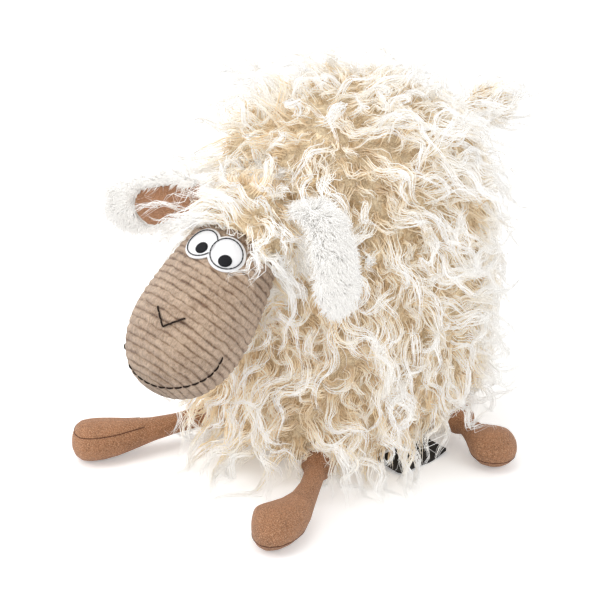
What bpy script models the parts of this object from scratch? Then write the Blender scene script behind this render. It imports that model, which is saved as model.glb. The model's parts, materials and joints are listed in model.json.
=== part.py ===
"""Plush sheep: a long-wooled stuffed toy that rests on its belly with its legs splayed.

Metres, +Z up. The sheep looks along -Y and its left side is at +X. The origin is the middle
of its belly, on the surface that it rests on. The neck is seated in the front of the body and
carries the head; the legs, the tail and the label are sewn to the body.
"""
import math

import bmesh
import bpy
from mathutils import Matrix, Vector

# Room between pieces, and how far a cut runs past what it cuts
GAP = 0.0003
OVERRUN = 0.004

# Body: a rounded loaf of fleece over stuffing
BODY_HALF_WIDTH = 0.106
BODY_FRONT_LENGTH = 0.128
BODY_REAR_LENGTH = 0.118
BODY_HEIGHT = 0.302
BODY_WAIST_HEIGHT = 0.122
CHEST_BULGE = 0.014
CHEST_HEIGHT = 0.160
BELLY_PRESS = 0.0005
FLEECE_SIDE = 0.026
FLEECE_BELLY = 0.007
FLEECE_NECK = 0.009
PLAN_FULLNESS_SHARE = 2.4
TOP_FULLNESS_SHARE = 3.0
BASE_FULLNESS_SHARE = 4.5

# Closing seam under the belly, sewn up by hand after stuffing
SEAM_START = 0.014
SEAM_LENGTH = 0.048
SEAM_SLIT = 0.0026
SEAM_THREAD_RADIUS = 0.0004
SEAM_STITCHES = 12

# Neck and back of the head, both turning about one point
NECK_SIDE = 0.006
NECK_INSET = 0.002
NECK_HEIGHT = 0.205
NECK_PLACE = Vector((NECK_SIDE, NECK_INSET - BODY_FRONT_LENGTH, NECK_HEIGHT))
CROWN_RADIUS = 0.044
CROWN_EDGE = 0.0100
NECK_FLEECE = 0.008
NECK_ROOM = 0.0010
LOWEST_NOD = math.radians(15)
HEAD_SWINGS = (math.radians(-12), 0, math.radians(6))
THROAT_ROOM = 0.0015
NECK_REACH = math.radians(44)

# Head: an egg of ribbed cloth, blunt at the muzzle
HEAD_PITCH = math.radians(43)
HEAD_ROLL = math.radians(7)
HEAD_TURN = math.radians(10)
HEAD_LEAN = math.radians(-4)
HEAD_LENGTH = 0.170
HEAD_BEHIND_PIVOT = 0.034
HEAD_RISE = 0.003
FOREHEAD_HALF_WIDTH = 0.036
MUZZLE_HALF_WIDTH = 0.052
HEAD_FULLNESS_SHARE = 2.35
HEAD_DEPTH_SHARE = 0.86
FACE_CLOTH = 0.003
HEAD_OPENING_RADIUS = 0.012

# Eyes, nose and mouth, in the head's own frame: sideways, then along towards the crown
FELT_THICKNESS = 0.0012
FELT_RIM = 0.0022
STITCH_THICKNESS = 0.0006
STITCH_WIDTH = 0.0011
STITCH_CREST_SHARE = 0.6
EYE_PLACES = {"left": (0.0127, -0.0269), "right": (-0.0078, -0.0266)}
EYE_HALF_SIZES = {"left": (0.0110, 0.0124), "right": (0.0112, 0.0118)}
EYE_TILTS = {"left": math.radians(31), "right": math.radians(-26)}
PUPIL_PLACES = {"left": (0.0153, -0.0325), "right": (-0.0055, -0.0306)}
PUPIL_RADIUS = 0.0046
PATCH_RING_SHARES = (0.35, 0.7, 1.0)
NOSE_HALF_WIDTH = 0.0125
NOSE_SIDEWAYS = 0.0010
NOSE_ALONG = -0.0841
NOSE_DROP = 0.0126
MOUTH_HALF_WIDTH = 0.0425
MOUTH_ALONG = -0.0930
MOUTH_DROP = 0.0392

# Ears: plush backs with thin linings, sewn to the sides of the crown
EAR_ROOT_SHARES = (0.80, 0.50, 0.33)
EAR_SEATS = {"left": 0.0003, "right": 0.0009}
EAR_LENGTH = 0.117
EAR_ROOT_HALF_WIDTH = 0.0060
EAR_HALF_WIDTH = 0.024
EAR_TIP_ROUND = 0.026
EAR_PLUSH = 0.009
EAR_LINING = 0.0022
EAR_EDGE = 0.007
EAR_LINING_DROP = 0.004
EAR_ROOM = 0.046
EAR_ROOM_OUT = 0.036
EAR_WIDENING_SHARE = 0.4
LINING_REACH_SHARE = 0.7
EAR_TWISTS = {"left": math.radians(43), "right": math.radians(125)}
EAR_SWEEPS = {"left": math.radians(-20), "right": math.radians(-29)}
EAR_BENDS = {"left": (math.radians(95), math.radians(-88)), "right": (math.radians(8), math.radians(-12))}

# Legs: clubs with a ball at the root, lying along the floor
LEG_ROOT_RADIUS = 0.0135
SOCKET_ROOM = 0.0007
LEG_ROOT_HEIGHT = 0.021
SHANK_RADIUS = 0.0084
FOOT_HALF_WIDTH = 0.0210
FOOT_HALF_HEIGHT = 0.0165
FOOT_REACH = 0.036
FRONT_SHANK = 0.084
REAR_SHANK = 0.030
LEG_CLOTH = 0.0016
LEG_MOUTH_RADIUS = 0.0050
SWELL_START_SHARE = 0.15
SWELL_END_SHARE = 0.75
LEG_PLACES = {
    "front_left": (math.radians(31), math.radians(35), math.radians(-72), FRONT_SHANK),
    "front_right": (math.radians(-29), math.radians(-20), math.radians(-24), FRONT_SHANK),
    "rear_left": (math.radians(110), math.radians(72), math.radians(18), REAR_SHANK),
    "rear_right": (math.radians(-110), math.radians(-72), math.radians(-18), REAR_SHANK),
}

# Tail: a tuft of wool, rooted this far below the top of the back
TAIL_ROOT_DROP = 0.061
TAIL_LENGTH = 0.090
TAIL_ROOT_RADIUS = 0.0115
TAIL_RADIUS = 0.0200
TAIL_DROOP = 0.008

# Label: a bare cloth tag sewn low into the left side, lying out on the floor
LABEL_HEADING = math.radians(78)
LABEL_ROOT_HEIGHT = 0.0055
LABEL_SEAM = 0.003
LABEL_LENGTH = 0.028
LABEL_WIDTH = 0.055
LABEL_THICKNESS = 0.0010
LABEL_CLIP = 0.002
LABEL_LIFT = math.radians(18)

# Facets
BODY_SEGMENTS = 40
BODY_RINGS = 18
CAVITY_RINGS = 12
HEAD_SEGMENTS = 28
HEAD_RINGS = 16
HEAD_CAVITY_RINGS = 10
NECK_RINGS = 5
LIMB_SEGMENTS = 16
LIMB_RINGS = 10
SOCKET_SEGMENTS = 20
BALL_RINGS = 5
CORE_SEGMENTS = 10
CORE_RINGS = 6
EYE_SEGMENTS = 24
MOUTH_STEPS = 24
EAR_STEPS = 10


def clear_scene():
    for leftover in list(bpy.data.objects):
        bpy.data.objects.remove(leftover)


def make_look(name, colour, roughness):
    """A cloth material."""
    look = bpy.data.materials.new(name)
    look.use_nodes = True
    shader = look.node_tree.nodes["Principled BSDF"]
    shader.inputs["Base Color"].default_value = (*colour, 1)
    shader.inputs["Roughness"].default_value = roughness
    shader.inputs["Metallic"].default_value = 0
    return look


def add_pivot(name, matrix, parent=None):
    """An empty that carries the pieces that turn with it."""
    pivot = bpy.data.objects.new(name, None)
    bpy.context.collection.objects.link(pivot)
    pivot.parent = parent
    pivot.matrix_local = matrix
    return pivot


def finish_solid(name, shell, look, parent):
    """Turn a bmesh into a named object; without a look it is only a cutter."""
    bmesh.ops.recalc_face_normals(shell, faces=shell.faces)
    mesh = bpy.data.meshes.new(name)
    shell.to_mesh(mesh)
    shell.free()
    mesh.shade_smooth()
    mesh.set_sharp_from_angle(angle=math.radians(50))
    solid = bpy.data.objects.new(name, mesh)
    bpy.context.collection.objects.link(solid)
    solid.parent = parent
    if look is None:
        solid.hide_render = True
        solid.display_type = 'WIRE'
    else:
        mesh.materials.append(look)
    return solid


def bridge(shell, first, second):
    """Faces between two rows of vertices; a row of one vertex is a tip."""
    count = max(len(first), len(second))
    for step in range(count):
        after = (step + 1) % count
        if len(first) == 1:
            shell.faces.new((first[0], second[step], second[after]))
        elif len(second) == 1:
            shell.faces.new((first[step], second[0], first[after]))
        else:
            shell.faces.new((first[step], second[step], second[after], first[after]))


def add_loft(name, loops, look=None, parent=None):
    """A closed body through loops of points, capped at both ends."""
    shell = bmesh.new()
    rows = [[shell.verts.new(point) for point in loop] for loop in loops]
    for first, second in zip(rows, rows[1:]):
        bridge(shell, first, second)
    for row in (rows[0], rows[-1]):
        if len(row) > 1:
            shell.faces.new(row)
    return finish_solid(name, shell, look, parent)


def add_band(name, loops, look, parent):
    """A closed band: a loft whose last loop joins its first."""
    shell = bmesh.new()
    rows = [[shell.verts.new(point) for point in loop] for loop in loops]
    for first, second in zip(rows, rows[1:] + rows[:1]):
        bridge(shell, first, second)
    return finish_solid(name, shell, look, parent)


def add_block(name, low, high, parent=None):
    """A box-shaped cutter between two corners."""
    corners = [(low[0], low[1]), (high[0], low[1]), (high[0], high[1]), (low[0], high[1])]
    loops = [[Vector((x, y, z)) for x, y in corners] for z in (low[2], high[2])]
    return add_loft(name, loops, None, parent)


def add_ball(name, centre, radius, segments, look=None, parent=None):
    """A sphere with a ring for every two segments."""
    rings = segments // 2
    loops = [[centre - Vector((0, 0, radius))]]
    for ring in range(1, rings):
        tilt = math.pi * ring / rings
        loops.append([
            centre + radius * Vector((
                math.sin(tilt) * math.cos(math.tau * step / segments),
                math.sin(tilt) * math.sin(math.tau * step / segments),
                -math.cos(tilt),
            ))
            for step in range(segments)
        ])
    loops.append([centre + Vector((0, 0, radius))])
    return add_loft(name, loops, look, parent)


def cut(solid, cutter):
    """Take a cutter's shape out of a solid."""
    boolean = solid.modifiers.new(cutter.name, 'BOOLEAN')
    boolean.operation = 'DIFFERENCE'
    boolean.object = cutter
    boolean.solver = 'EXACT'


def bulge(wave, fullness):
    """A sine or cosine filled out, so that a circle becomes a rounded square."""
    return math.copysign(abs(wave) ** (2 / fullness), wave)


def ramp(share):
    """A ramp from 0 to 1 that starts and ends level."""
    share = min(max(share, 0), 1)
    return share * share * (3 - 2 * share)


def chest_reach(height):
    """How far the chest stands out in front of the loaf's oval at a height."""
    return CHEST_BULGE * (1 - ramp(height / CHEST_HEIGHT))


def reach_along(in_front, height):
    """How far the body's loaf reaches from its middle to its front or its rear at a height."""
    return BODY_FRONT_LENGTH + chest_reach(height) if in_front else BODY_REAR_LENGTH


def loaf_loops(side_inset, base_inset, rings):
    """Rings of the body's loaf shape, drawn in by insets, from its belly to its back."""
    rise = BODY_HEIGHT - side_inset - BODY_WAIST_HEIGHT
    fall = BODY_WAIST_HEIGHT + BELLY_PRESS - base_inset
    loops = [[Vector((0, 0, BODY_WAIST_HEIGHT - fall))]]
    for ring in range(1, rings):
        tilt = math.pi * (ring / rings - 1 / 2)
        fullness = BASE_FULLNESS_SHARE if tilt < 0 else TOP_FULLNESS_SHARE
        spread = bulge(math.cos(tilt), fullness)
        height = BODY_WAIST_HEIGHT + (fall if tilt < 0 else rise) * bulge(math.sin(tilt), fullness)
        loop = []
        for step in range(BODY_SEGMENTS):
            angle = math.tau * step / BODY_SEGMENTS
            half_length = reach_along(math.sin(angle) < 0, height) - side_inset
            loop.append(Vector((
                (BODY_HALF_WIDTH - side_inset) * spread * bulge(math.cos(angle), PLAN_FULLNESS_SHARE),
                half_length * spread * bulge(math.sin(angle), PLAN_FULLNESS_SHARE),
                height,
            )))
        loops.append(loop)
    loops.append([Vector((0, 0, BODY_WAIST_HEIGHT + rise))])
    return loops


def loaf_surface(heading, height):
    """The body's surface at a height: a point and its outward normal.

    The heading is measured from the sheep's front (-Y) round its left side (+X).
    """
    upper = height > BODY_WAIST_HEIGHT
    fullness = TOP_FULLNESS_SHARE if upper else BASE_FULLNESS_SHARE
    reach = BODY_HEIGHT - BODY_WAIST_HEIGHT if upper else BODY_WAIST_HEIGHT + BELLY_PRESS
    half_length = reach_along(math.cos(heading) > 0, height)
    depth = abs(height - BODY_WAIST_HEIGHT) / reach
    spread = (1 - depth ** fullness) ** (1 / fullness)
    power = PLAN_FULLNESS_SHARE
    side = abs(math.sin(heading)) / BODY_HALF_WIDTH
    front = abs(math.cos(heading)) / half_length
    radius = spread / (side ** power + front ** power) ** (1 / power)
    point = Vector((radius * math.sin(heading), -radius * math.cos(heading), height))
    plan = spread ** (fullness - power)
    slope_x = plan * (abs(point.x) / BODY_HALF_WIDTH) ** (power - 1) / BODY_HALF_WIDTH
    slope_y = plan * (abs(point.y) / half_length) ** (power - 1) / half_length
    slope_z = depth ** (fullness - 1) / reach
    normal = Vector((
        math.copysign(slope_x, point.x),
        math.copysign(slope_y, point.y),
        slope_z if upper else -slope_z,
    ))
    return point, normal.normalized()


def head_half_width(share):
    """Half the head's full width, from the crown (0) to the chin (1)."""
    return FOREHEAD_HALF_WIDTH + (MUZZLE_HALF_WIDTH - FOREHEAD_HALF_WIDTH) * ramp(share)


def head_spread(share):
    """How much of its full width the egg has, from the crown (0) to the chin (1)."""
    return (1 - abs(2 * share - 1) ** HEAD_FULLNESS_SHARE) ** (1 / HEAD_FULLNESS_SHARE)


def head_loops(inset, rings):
    """Rings of the head's egg shape, drawn in by an inset, from its crown to its chin."""
    length = HEAD_LENGTH - 2 * inset
    start = HEAD_BEHIND_PIVOT - inset
    loops = [[Vector((0, start, HEAD_RISE))]]
    for ring in range(1, rings):
        share = (1 - bulge(math.cos(math.pi * ring / rings), HEAD_FULLNESS_SHARE)) / 2
        half_width = (head_half_width(share) - inset) * head_spread(share)
        half_depth = (head_half_width(share) * HEAD_DEPTH_SHARE - inset) * head_spread(share)
        loops.append([
            Vector((
                half_width * math.cos(math.tau * step / HEAD_SEGMENTS),
                start - length * share,
                HEAD_RISE + half_depth * math.sin(math.tau * step / HEAD_SEGMENTS),
            ))
            for step in range(HEAD_SEGMENTS)
        ])
    loops.append([Vector((0, start - length, HEAD_RISE))])
    return loops


def head_skin(along, around):
    """Point of the head's surface; around is 0 at the middle of the face and grows to the left."""
    share = min(max((HEAD_BEHIND_PIVOT - along) / HEAD_LENGTH, 0), 1)
    half_width = head_half_width(share) * head_spread(share)
    depth = half_width * HEAD_DEPTH_SHARE
    return Vector((half_width * math.sin(around), along, HEAD_RISE + depth * math.cos(around)))


def head_place(along, around):
    """Point of the head's surface and its outward normal."""
    point = head_skin(along, around)
    forward = head_skin(along - GAP, around) - point
    sideways = head_skin(along, around + GAP / MUZZLE_HALF_WIDTH) - point
    return point, forward.cross(sideways).normalized()


def face_place(spot):
    """The face's surface and normal at a spot given sideways and along."""
    share = (HEAD_BEHIND_PIVOT - spot[1]) / HEAD_LENGTH
    return head_place(spot[1], math.asin(spot[0] / (head_half_width(share) * head_spread(share))))


def face_patch(name, centre, outline, low, thickness, look, parent):
    """A cloth patch on the face inside an outline, raised by low over the skin."""
    def lifted(share, lift):
        ring = []
        for spot in outline:
            point, normal = face_place(centre + (spot - centre) * share)
            ring.append(point + normal * lift)
        return ring

    middle, normal = face_place(centre)
    loops = [[middle + normal * low]]
    loops += [lifted(share, low) for share in PATCH_RING_SHARES]
    loops += [lifted(share, low + thickness) for share in reversed(PATCH_RING_SHARES)]
    loops.append([middle + normal * (low + thickness)])
    return add_loft(name, loops, look, parent)


def stitch_loops(places, low, closed=False):
    """Sections of a line of stitches through places of the head's surface."""
    loops = []
    last = len(places) - 1
    for step, (point, normal) in enumerate(places):
        before = places[step - 1] if closed or step else places[0]
        after = places[(step + 1) % len(places)] if closed else places[min(step + 1, last)]
        across = normal.cross(after[0] - before[0]).normalized() * (STITCH_WIDTH / 2)
        foot = point + normal * low
        crest = foot + normal * STITCH_THICKNESS
        loops.append([
            foot - across,
            foot + across,
            crest + across * STITCH_CREST_SHARE,
            crest - across * STITCH_CREST_SHARE,
        ])
    return loops


def eye_edge(side, grow):
    """The outline of an eye on the face, grown by a margin, as a list of spots."""
    turn = Matrix.Rotation(EYE_TILTS[side], 2)
    spots = []
    for step in range(EYE_SEGMENTS):
        angle = math.tau * step / EYE_SEGMENTS
        local = Vector((
            (EYE_HALF_SIZES[side][0] + grow) * math.cos(angle),
            (EYE_HALF_SIZES[side][1] + grow) * math.sin(angle),
        ))
        spots.append(Vector(EYE_PLACES[side]) + turn @ local)
    return spots


def in_eye(side, spot, grow):
    """Whether a spot of the face lies inside an eye grown by a margin."""
    local = Matrix.Rotation(-EYE_TILTS[side], 2) @ (spot - Vector(EYE_PLACES[side]))
    return sum((local[axis] / (EYE_HALF_SIZES[side][axis] + grow)) ** 2 for axis in (0, 1)) < 1


def felt_edge():
    """One outline round both eyes: spots of each that the other doesn't cover."""
    left = [spot for spot in eye_edge("left", FELT_RIM) if not in_eye("right", spot, FELT_RIM)]
    right = [spot for spot in eye_edge("right", FELT_RIM) if not in_eye("left", spot, FELT_RIM)]
    middle = (Vector(EYE_PLACES["left"]) + Vector(EYE_PLACES["right"])) / 2

    def heading(spot):
        return math.atan2(spot.y - middle.y, spot.x - middle.x)

    return middle, sorted(left + right, key=heading)


def build_eyes(felt, thread, head):
    """One felt patch under both eyes, with an outline and a pupil sewn on for each."""
    middle, edge = felt_edge()
    face_patch("eye_felt", middle, edge, GAP, FELT_THICKNESS, felt, head)
    on_felt = FELT_THICKNESS + 2 * GAP
    places = [face_place(spot) for spot in eye_edge("left", 0)]
    add_band("eye_outline_left", stitch_loops(places, on_felt, closed=True), thread, head)
    clear = STITCH_WIDTH + GAP
    shown = [face_place(spot) for spot in eye_edge("right", 0) if not in_eye("left", spot, clear)]
    add_loft("eye_outline_right", stitch_loops(shown, on_felt), thread, head)
    for side, place in PUPIL_PLACES.items():
        centre = Vector(place)
        edge = []
        for step in range(0, EYE_SEGMENTS, 2):
            angle = math.tau * step / EYE_SEGMENTS
            edge.append(centre + PUPIL_RADIUS * Vector((math.cos(angle), math.sin(angle))))
        face_patch(f"pupil_{side}", centre, edge, on_felt, STITCH_THICKNESS, thread, head)


def build_nose_and_mouth(thread, head):
    """The V of the nose and the long smile round the muzzle, both single lines of stitches."""
    arms = [-1, -1 / 2, 0, 1 / 2, 1]
    spots = [
        (NOSE_SIDEWAYS + NOSE_HALF_WIDTH * arm, NOSE_ALONG - NOSE_DROP * (1 - abs(arm)))
        for arm in arms
    ]
    add_loft("nose_stitch", stitch_loops([face_place(spot) for spot in spots], GAP), thread, head)
    places = []
    for step in range(MOUTH_STEPS + 1):
        swing = math.pi * (step / MOUTH_STEPS - 1 / 2)
        along = MOUTH_ALONG - MOUTH_DROP * math.cos(swing)
        places.append(face_place((MOUTH_HALF_WIDTH * math.sin(swing), along)))
    add_loft("mouth_stitch", stitch_loops(places, GAP), thread, head)


def build_head(face, stuffing, wool, head):
    """The egg of ribbed cloth with its stuffing, and the fleece ball of its crown."""
    cover = add_loft("face_cover", head_loops(0, HEAD_RINGS), face, head)
    cavity = add_loft("face_cavity", head_loops(FACE_CLOTH, HEAD_CAVITY_RINGS), None, head)
    opening = [
        [Vector((HEAD_OPENING_RADIUS * math.cos(math.tau * step / LIMB_SEGMENTS),
                 HEAD_OPENING_RADIUS * math.sin(math.tau * step / LIMB_SEGMENTS),
                 height)) for step in range(LIMB_SEGMENTS)]
        for height in (-CROWN_RADIUS, 0)
    ]
    cut(cover, cavity)
    cut(cover, add_loft("face_opening", opening, None, head))
    add_loft("head_stuffing", head_loops(FACE_CLOTH + 2 * GAP, HEAD_CAVITY_RINGS), stuffing, head)
    crown = add_ball("crown_cover", Vector(), CROWN_RADIUS, HEAD_SEGMENTS, wool, head)
    reach = CROWN_RADIUS + OVERRUN
    cut(crown, add_block("crown_front", (-reach, -reach, -reach), (reach, -CROWN_EDGE, reach), head))
    cut(crown, add_loft("crown_hollow", head_loops(-2 * GAP, HEAD_RINGS), None, head))


def build_neck(wool, neck):
    """A cap of fleece round the back of the crown, between it and the body's hollow."""
    inner = CROWN_RADIUS + NECK_ROOM
    outer = inner + NECK_FLEECE
    steps = NECK_RINGS
    loops = []
    for radius, order in ((outer, range(steps + 1)), (inner, range(steps, -1, -1))):
        for step in order:
            tilt = NECK_REACH * step / steps
            ring = [
                radius * Vector((
                    math.sin(tilt) * math.cos(math.tau * turn / HEAD_SEGMENTS),
                    math.cos(tilt),
                    math.sin(tilt) * math.sin(math.tau * turn / HEAD_SEGMENTS),
                ))
                for turn in range(HEAD_SEGMENTS)
            ]
            loops.append(ring if step else ring[:1])
    return add_loft("neck_cover", loops, wool, neck)


def ear_frame(side):
    """The ear's own frame in the head's: +X out along it, +Z to its plush side."""
    outward = Vector((1 if side == "left" else -1, 0, 0))
    plush = Vector((0, math.sin(EAR_TWISTS[side]), math.cos(EAR_TWISTS[side])))
    chord = plush.cross(outward)
    outward_share, back_share, face_share = EAR_ROOT_SHARES
    reach = Vector((outward.x * outward_share, back_share, face_share)).normalized()
    root = reach * (CROWN_RADIUS + EAR_SEATS[side])
    turn = Matrix((outward, chord, plush)).transposed()
    return Matrix.Translation(root) @ turn.to_4x4() @ Matrix.Rotation(EAR_SWEEPS[side], 4, 'Z')


def ear_stations(side):
    """Places along the ear's middle line: point, direction, half width and fullness."""
    start, end = EAR_BENDS[side]
    point = Vector()
    stations = []
    for step in range(1, EAR_STEPS):
        share = step / EAR_STEPS
        bend = start + (end - start) * (1 - (1 - share) ** 2)
        direction = Vector((math.cos(bend), 0, math.sin(bend)))
        point = point + direction * (EAR_LENGTH / EAR_STEPS)
        left = EAR_LENGTH * (1 - share)
        tip = math.sqrt(1 - max(0, 1 - left / EAR_TIP_ROUND) ** 2)
        widening = ramp(share / EAR_WIDENING_SHARE)
        half_width = EAR_ROOT_HALF_WIDTH + (EAR_HALF_WIDTH - EAR_ROOT_HALF_WIDTH) * widening
        stations.append((point, direction, half_width * tip, tip * ramp(2 * share + 1 / EAR_STEPS)))
    return stations, point + direction * (EAR_LENGTH / EAR_STEPS)


def build_ear(side, wool, lining, head):
    """A plush back and a thin lining that follow one bent middle line."""
    pivot = add_pivot(f"ear_pivot_{side}", ear_frame(side), head)
    stations, tip = ear_stations(side)
    drop = EAR_LINING_DROP if side == "left" else -EAR_LINING_DROP
    backs, fronts = [[Vector()]], []
    arc = [math.pi * step / EAR_STEPS for step in range(EAR_STEPS + 1)]
    for point, direction, half_width, fullness in stations:
        out = Vector((-direction.z, 0, direction.x))
        chord = Vector((0, 1, 0))
        backs.append([
            point + chord * (half_width * math.cos(angle)) + out * (EAR_PLUSH * fullness * math.sin(angle))
            for angle in arc
        ])
        if len(fronts) < LINING_REACH_SHARE * EAR_STEPS:
            narrow = max(half_width - EAR_EDGE, EAR_EDGE)
            fronts.append([
                point + chord * (narrow * math.cos(angle) + drop * fullness)
                - out * (GAP + EAR_LINING * math.sin(angle))
                for angle in arc[::2]
            ])
    backs.append([tip])
    add_loft(f"ear_plush_{side}", backs, wool, pivot)
    add_loft(f"ear_lining_{side}", fronts, lining, pivot)
    return pivot


class Limb:
    """A limb that grows along -Y from a ball at its root and swells and curls to a round end."""

    def __init__(self, root_radius, neck_radius, half_width, half_height, bend, tip):
        self.root_radius = root_radius
        self.neck_radius = neck_radius
        self.half_width = half_width
        self.half_height = half_height
        self.start = Vector((0, -math.sqrt(root_radius ** 2 - neck_radius ** 2), 0))
        self.bend = bend
        self.tip = tip
        self.length = (bend - self.start).length + (tip - bend).length

    def place(self, share):
        """Point of the middle line between the ball (0) and the tip (1)."""
        return (
            self.start * (1 - share) ** 2
            + self.bend * (2 * share * (1 - share))
            + self.tip * share ** 2
        )

    def radius(self, share, full, inset):
        """Half width or height at a share of the length, with the end rounded."""
        swelling = ramp((share - SWELL_START_SHARE) / (SWELL_END_SHARE - SWELL_START_SHARE))
        swell = self.neck_radius + (full - self.neck_radius) * swelling
        rounding = full - inset
        remaining = self.length * (1 - share) - inset
        end = math.sqrt(1 - max(0, 1 - remaining / rounding) ** 2)
        return (swell - inset) * end

    def ring(self, point, along, half_width, half_height, segments):
        across = along.cross(Vector((0, 0, 1))).normalized()
        up = across.cross(along)
        return [
            point
            + across * (half_width * math.cos(math.tau * step / segments))
            + up * (half_height * math.sin(math.tau * step / segments))
            for step in range(segments)
        ]

    def club_loops(self, inset, segments, rings):
        """Rings from the neck of the ball to the tip."""
        last = 1 - inset / self.length
        loops = []
        for step in range(rings):
            share = last * math.sin(math.pi / 2 * step / rings)
            along = self.bend * (1 - 2 * share) - self.start * (1 - share) + self.tip * share
            loops.append(self.ring(
                self.place(share),
                along.normalized(),
                self.radius(share, self.half_width, inset),
                self.radius(share, self.half_height, inset),
                segments,
            ))
        loops.append([self.place(last)])
        return loops

    def ball_loops(self, segments):
        """Rings of the ball at the root, from its back to where the neck leaves it."""
        reach = math.pi - math.asin(self.neck_radius / self.root_radius)
        loops = [[Vector((0, self.root_radius, 0))]]
        for step in range(1, BALL_RINGS):
            tilt = reach * step / BALL_RINGS
            loops.append(self.ring(
                Vector((0, self.root_radius * math.cos(tilt), 0)),
                Vector((0, -1, 0)),
                self.root_radius * math.sin(tilt),
                self.root_radius * math.sin(tilt),
                segments,
            ))
        return loops

    def core_loops(self, inset, mouth_radius, back):
        """Rings of the hollow, which opens backwards through the ball."""
        ends = [
            self.ring(Vector((0, y, 0)), Vector((0, -1, 0)), mouth_radius, mouth_radius, CORE_SEGMENTS)
            for y in (back, 0)
        ]
        return ends + self.club_loops(inset, CORE_SEGMENTS, CORE_RINGS)


def build_leg(name, looks, floor):
    """A leg's cloth and stuffing on a pivot whose upright axis goes through the root ball."""
    heading, direction, curl, shank = LEG_PLACES[name]
    root, _ = loaf_surface(heading, LEG_ROOT_HEIGHT)
    turn = Matrix.Rotation(direction, 4, 'Z')
    pivot = add_pivot(f"leg_pivot_{name}", Matrix.Translation(root) @ turn)
    rise = FOOT_HALF_HEIGHT - BELLY_PRESS - LEG_ROOT_HEIGHT
    ankle = Vector((0, -shank, rise))
    toe = Vector((FOOT_REACH * math.sin(curl), -shank - FOOT_REACH * math.cos(curl), rise))
    limb = Limb(LEG_ROOT_RADIUS, SHANK_RADIUS, FOOT_HALF_WIDTH, FOOT_HALF_HEIGHT, ankle, toe)
    outer = limb.ball_loops(LIMB_SEGMENTS) + limb.club_loops(0, LIMB_SEGMENTS, LIMB_RINGS)
    cover = add_loft(f"leg_cover_{name}", outer, looks["suede"], pivot)
    cut(cover, floor)
    hollow = limb.core_loops(LEG_CLOTH, LEG_MOUTH_RADIUS, LEG_ROOT_RADIUS + OVERRUN)
    cut(cover, add_loft(f"leg_hollow_{name}", hollow, None, pivot))
    filling = limb.core_loops(LEG_CLOTH + 2 * GAP, LEG_MOUTH_RADIUS - GAP, LEG_ROOT_RADIUS - LEG_CLOTH)
    add_loft(f"leg_stuffing_{name}", filling, looks["stuffing"], pivot)
    return add_ball(f"leg_socket_{name}", Vector(), LEG_ROOT_RADIUS + SOCKET_ROOM, SOCKET_SEGMENTS, None, pivot)


def build_tail(wool):
    """A tuft that wags on an upright axis through its root."""
    root, _ = loaf_surface(math.pi, BODY_HEIGHT - TAIL_ROOT_DROP)
    pivot = add_pivot("tail_pivot", Matrix.Translation(root) @ Matrix.Rotation(math.pi, 4, 'Z'))
    middle = Vector((0, -TAIL_LENGTH / 2, TAIL_DROOP))
    tip = Vector((0, -TAIL_LENGTH, -TAIL_DROOP))
    limb = Limb(TAIL_ROOT_RADIUS, TAIL_ROOT_RADIUS - GAP, TAIL_RADIUS, TAIL_RADIUS, middle, tip)
    loops = limb.ball_loops(LIMB_SEGMENTS) + limb.club_loops(0, LIMB_SEGMENTS, LIMB_RINGS)
    add_loft("tail", loops, wool, pivot)
    return add_ball("tail_socket", Vector(), TAIL_ROOT_RADIUS + SOCKET_ROOM, SOCKET_SEGMENTS, None, pivot)


def build_label(cloth):
    """A bare tag hinged in a pocket of the fleece, sloping down to lie on the floor."""
    root, normal = loaf_surface(LABEL_HEADING, LABEL_ROOT_HEIGHT)
    outward = Vector((normal.x, normal.y, 0)).normalized()
    place = root - outward * LABEL_SEAM
    slope = math.asin((place.z - LABEL_THICKNESS) / LABEL_LENGTH)
    facing = Matrix.Rotation(math.atan2(outward.y, outward.x), 4, 'Z')
    pivot = add_pivot("label_pivot", Matrix.Translation(place) @ facing @ Matrix.Rotation(slope, 4, 'Y'))
    half = LABEL_WIDTH / 2
    outline = [
        (0, -half), (LABEL_LENGTH - LABEL_CLIP, -half), (LABEL_LENGTH, LABEL_CLIP - half),
        (LABEL_LENGTH, half - LABEL_CLIP), (LABEL_LENGTH - LABEL_CLIP, half), (0, half),
    ]
    faces = [[Vector((x, y, z)) for x, y in outline] for z in (-LABEL_THICKNESS / 2, LABEL_THICKNESS / 2)]
    add_loft("label", faces, cloth, pivot)
    room = LABEL_THICKNESS / 2 + GAP
    opening = [
        (-GAP, -room), (LABEL_LENGTH, -room),
        (LABEL_LENGTH, room + LABEL_LENGTH * math.tan(LABEL_LIFT)), (-GAP, room),
    ]
    ends = [[Vector((x, y, z)) for x, z in opening] for y in (-half - GAP, half + GAP)]
    return add_loft("label_pocket", ends, None, pivot)


def build_seam(thread):
    """The slit under the belly that the stuffing went in by, and the thread that closes it."""
    swing = SEAM_SLIT / 2 - SEAM_THREAD_RADIUS - GAP
    step_length = SEAM_LENGTH / SEAM_STITCHES
    path = [
        Vector((swing if step % 2 else -swing, SEAM_START + step_length * step, FLEECE_BELLY / 2))
        for step in range(1, SEAM_STITCHES)
    ]
    loops = []
    for step, point in enumerate(path):
        after = path[min(step + 1, len(path) - 1)]
        before = path[max(step - 1, 0)]
        across = (after - before).cross(Vector((0, 0, 1))).normalized() * SEAM_THREAD_RADIUS
        up = Vector((0, 0, SEAM_THREAD_RADIUS))
        loops.append([point - across, point + up, point + across, point - up])
    add_loft("closing_thread", loops, thread)
    return add_block(
        "closing_slit",
        (-SEAM_SLIT / 2, SEAM_START, -OVERRUN),
        (SEAM_SLIT / 2, SEAM_START + SEAM_LENGTH, FLEECE_BELLY + OVERRUN),
    )


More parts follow.
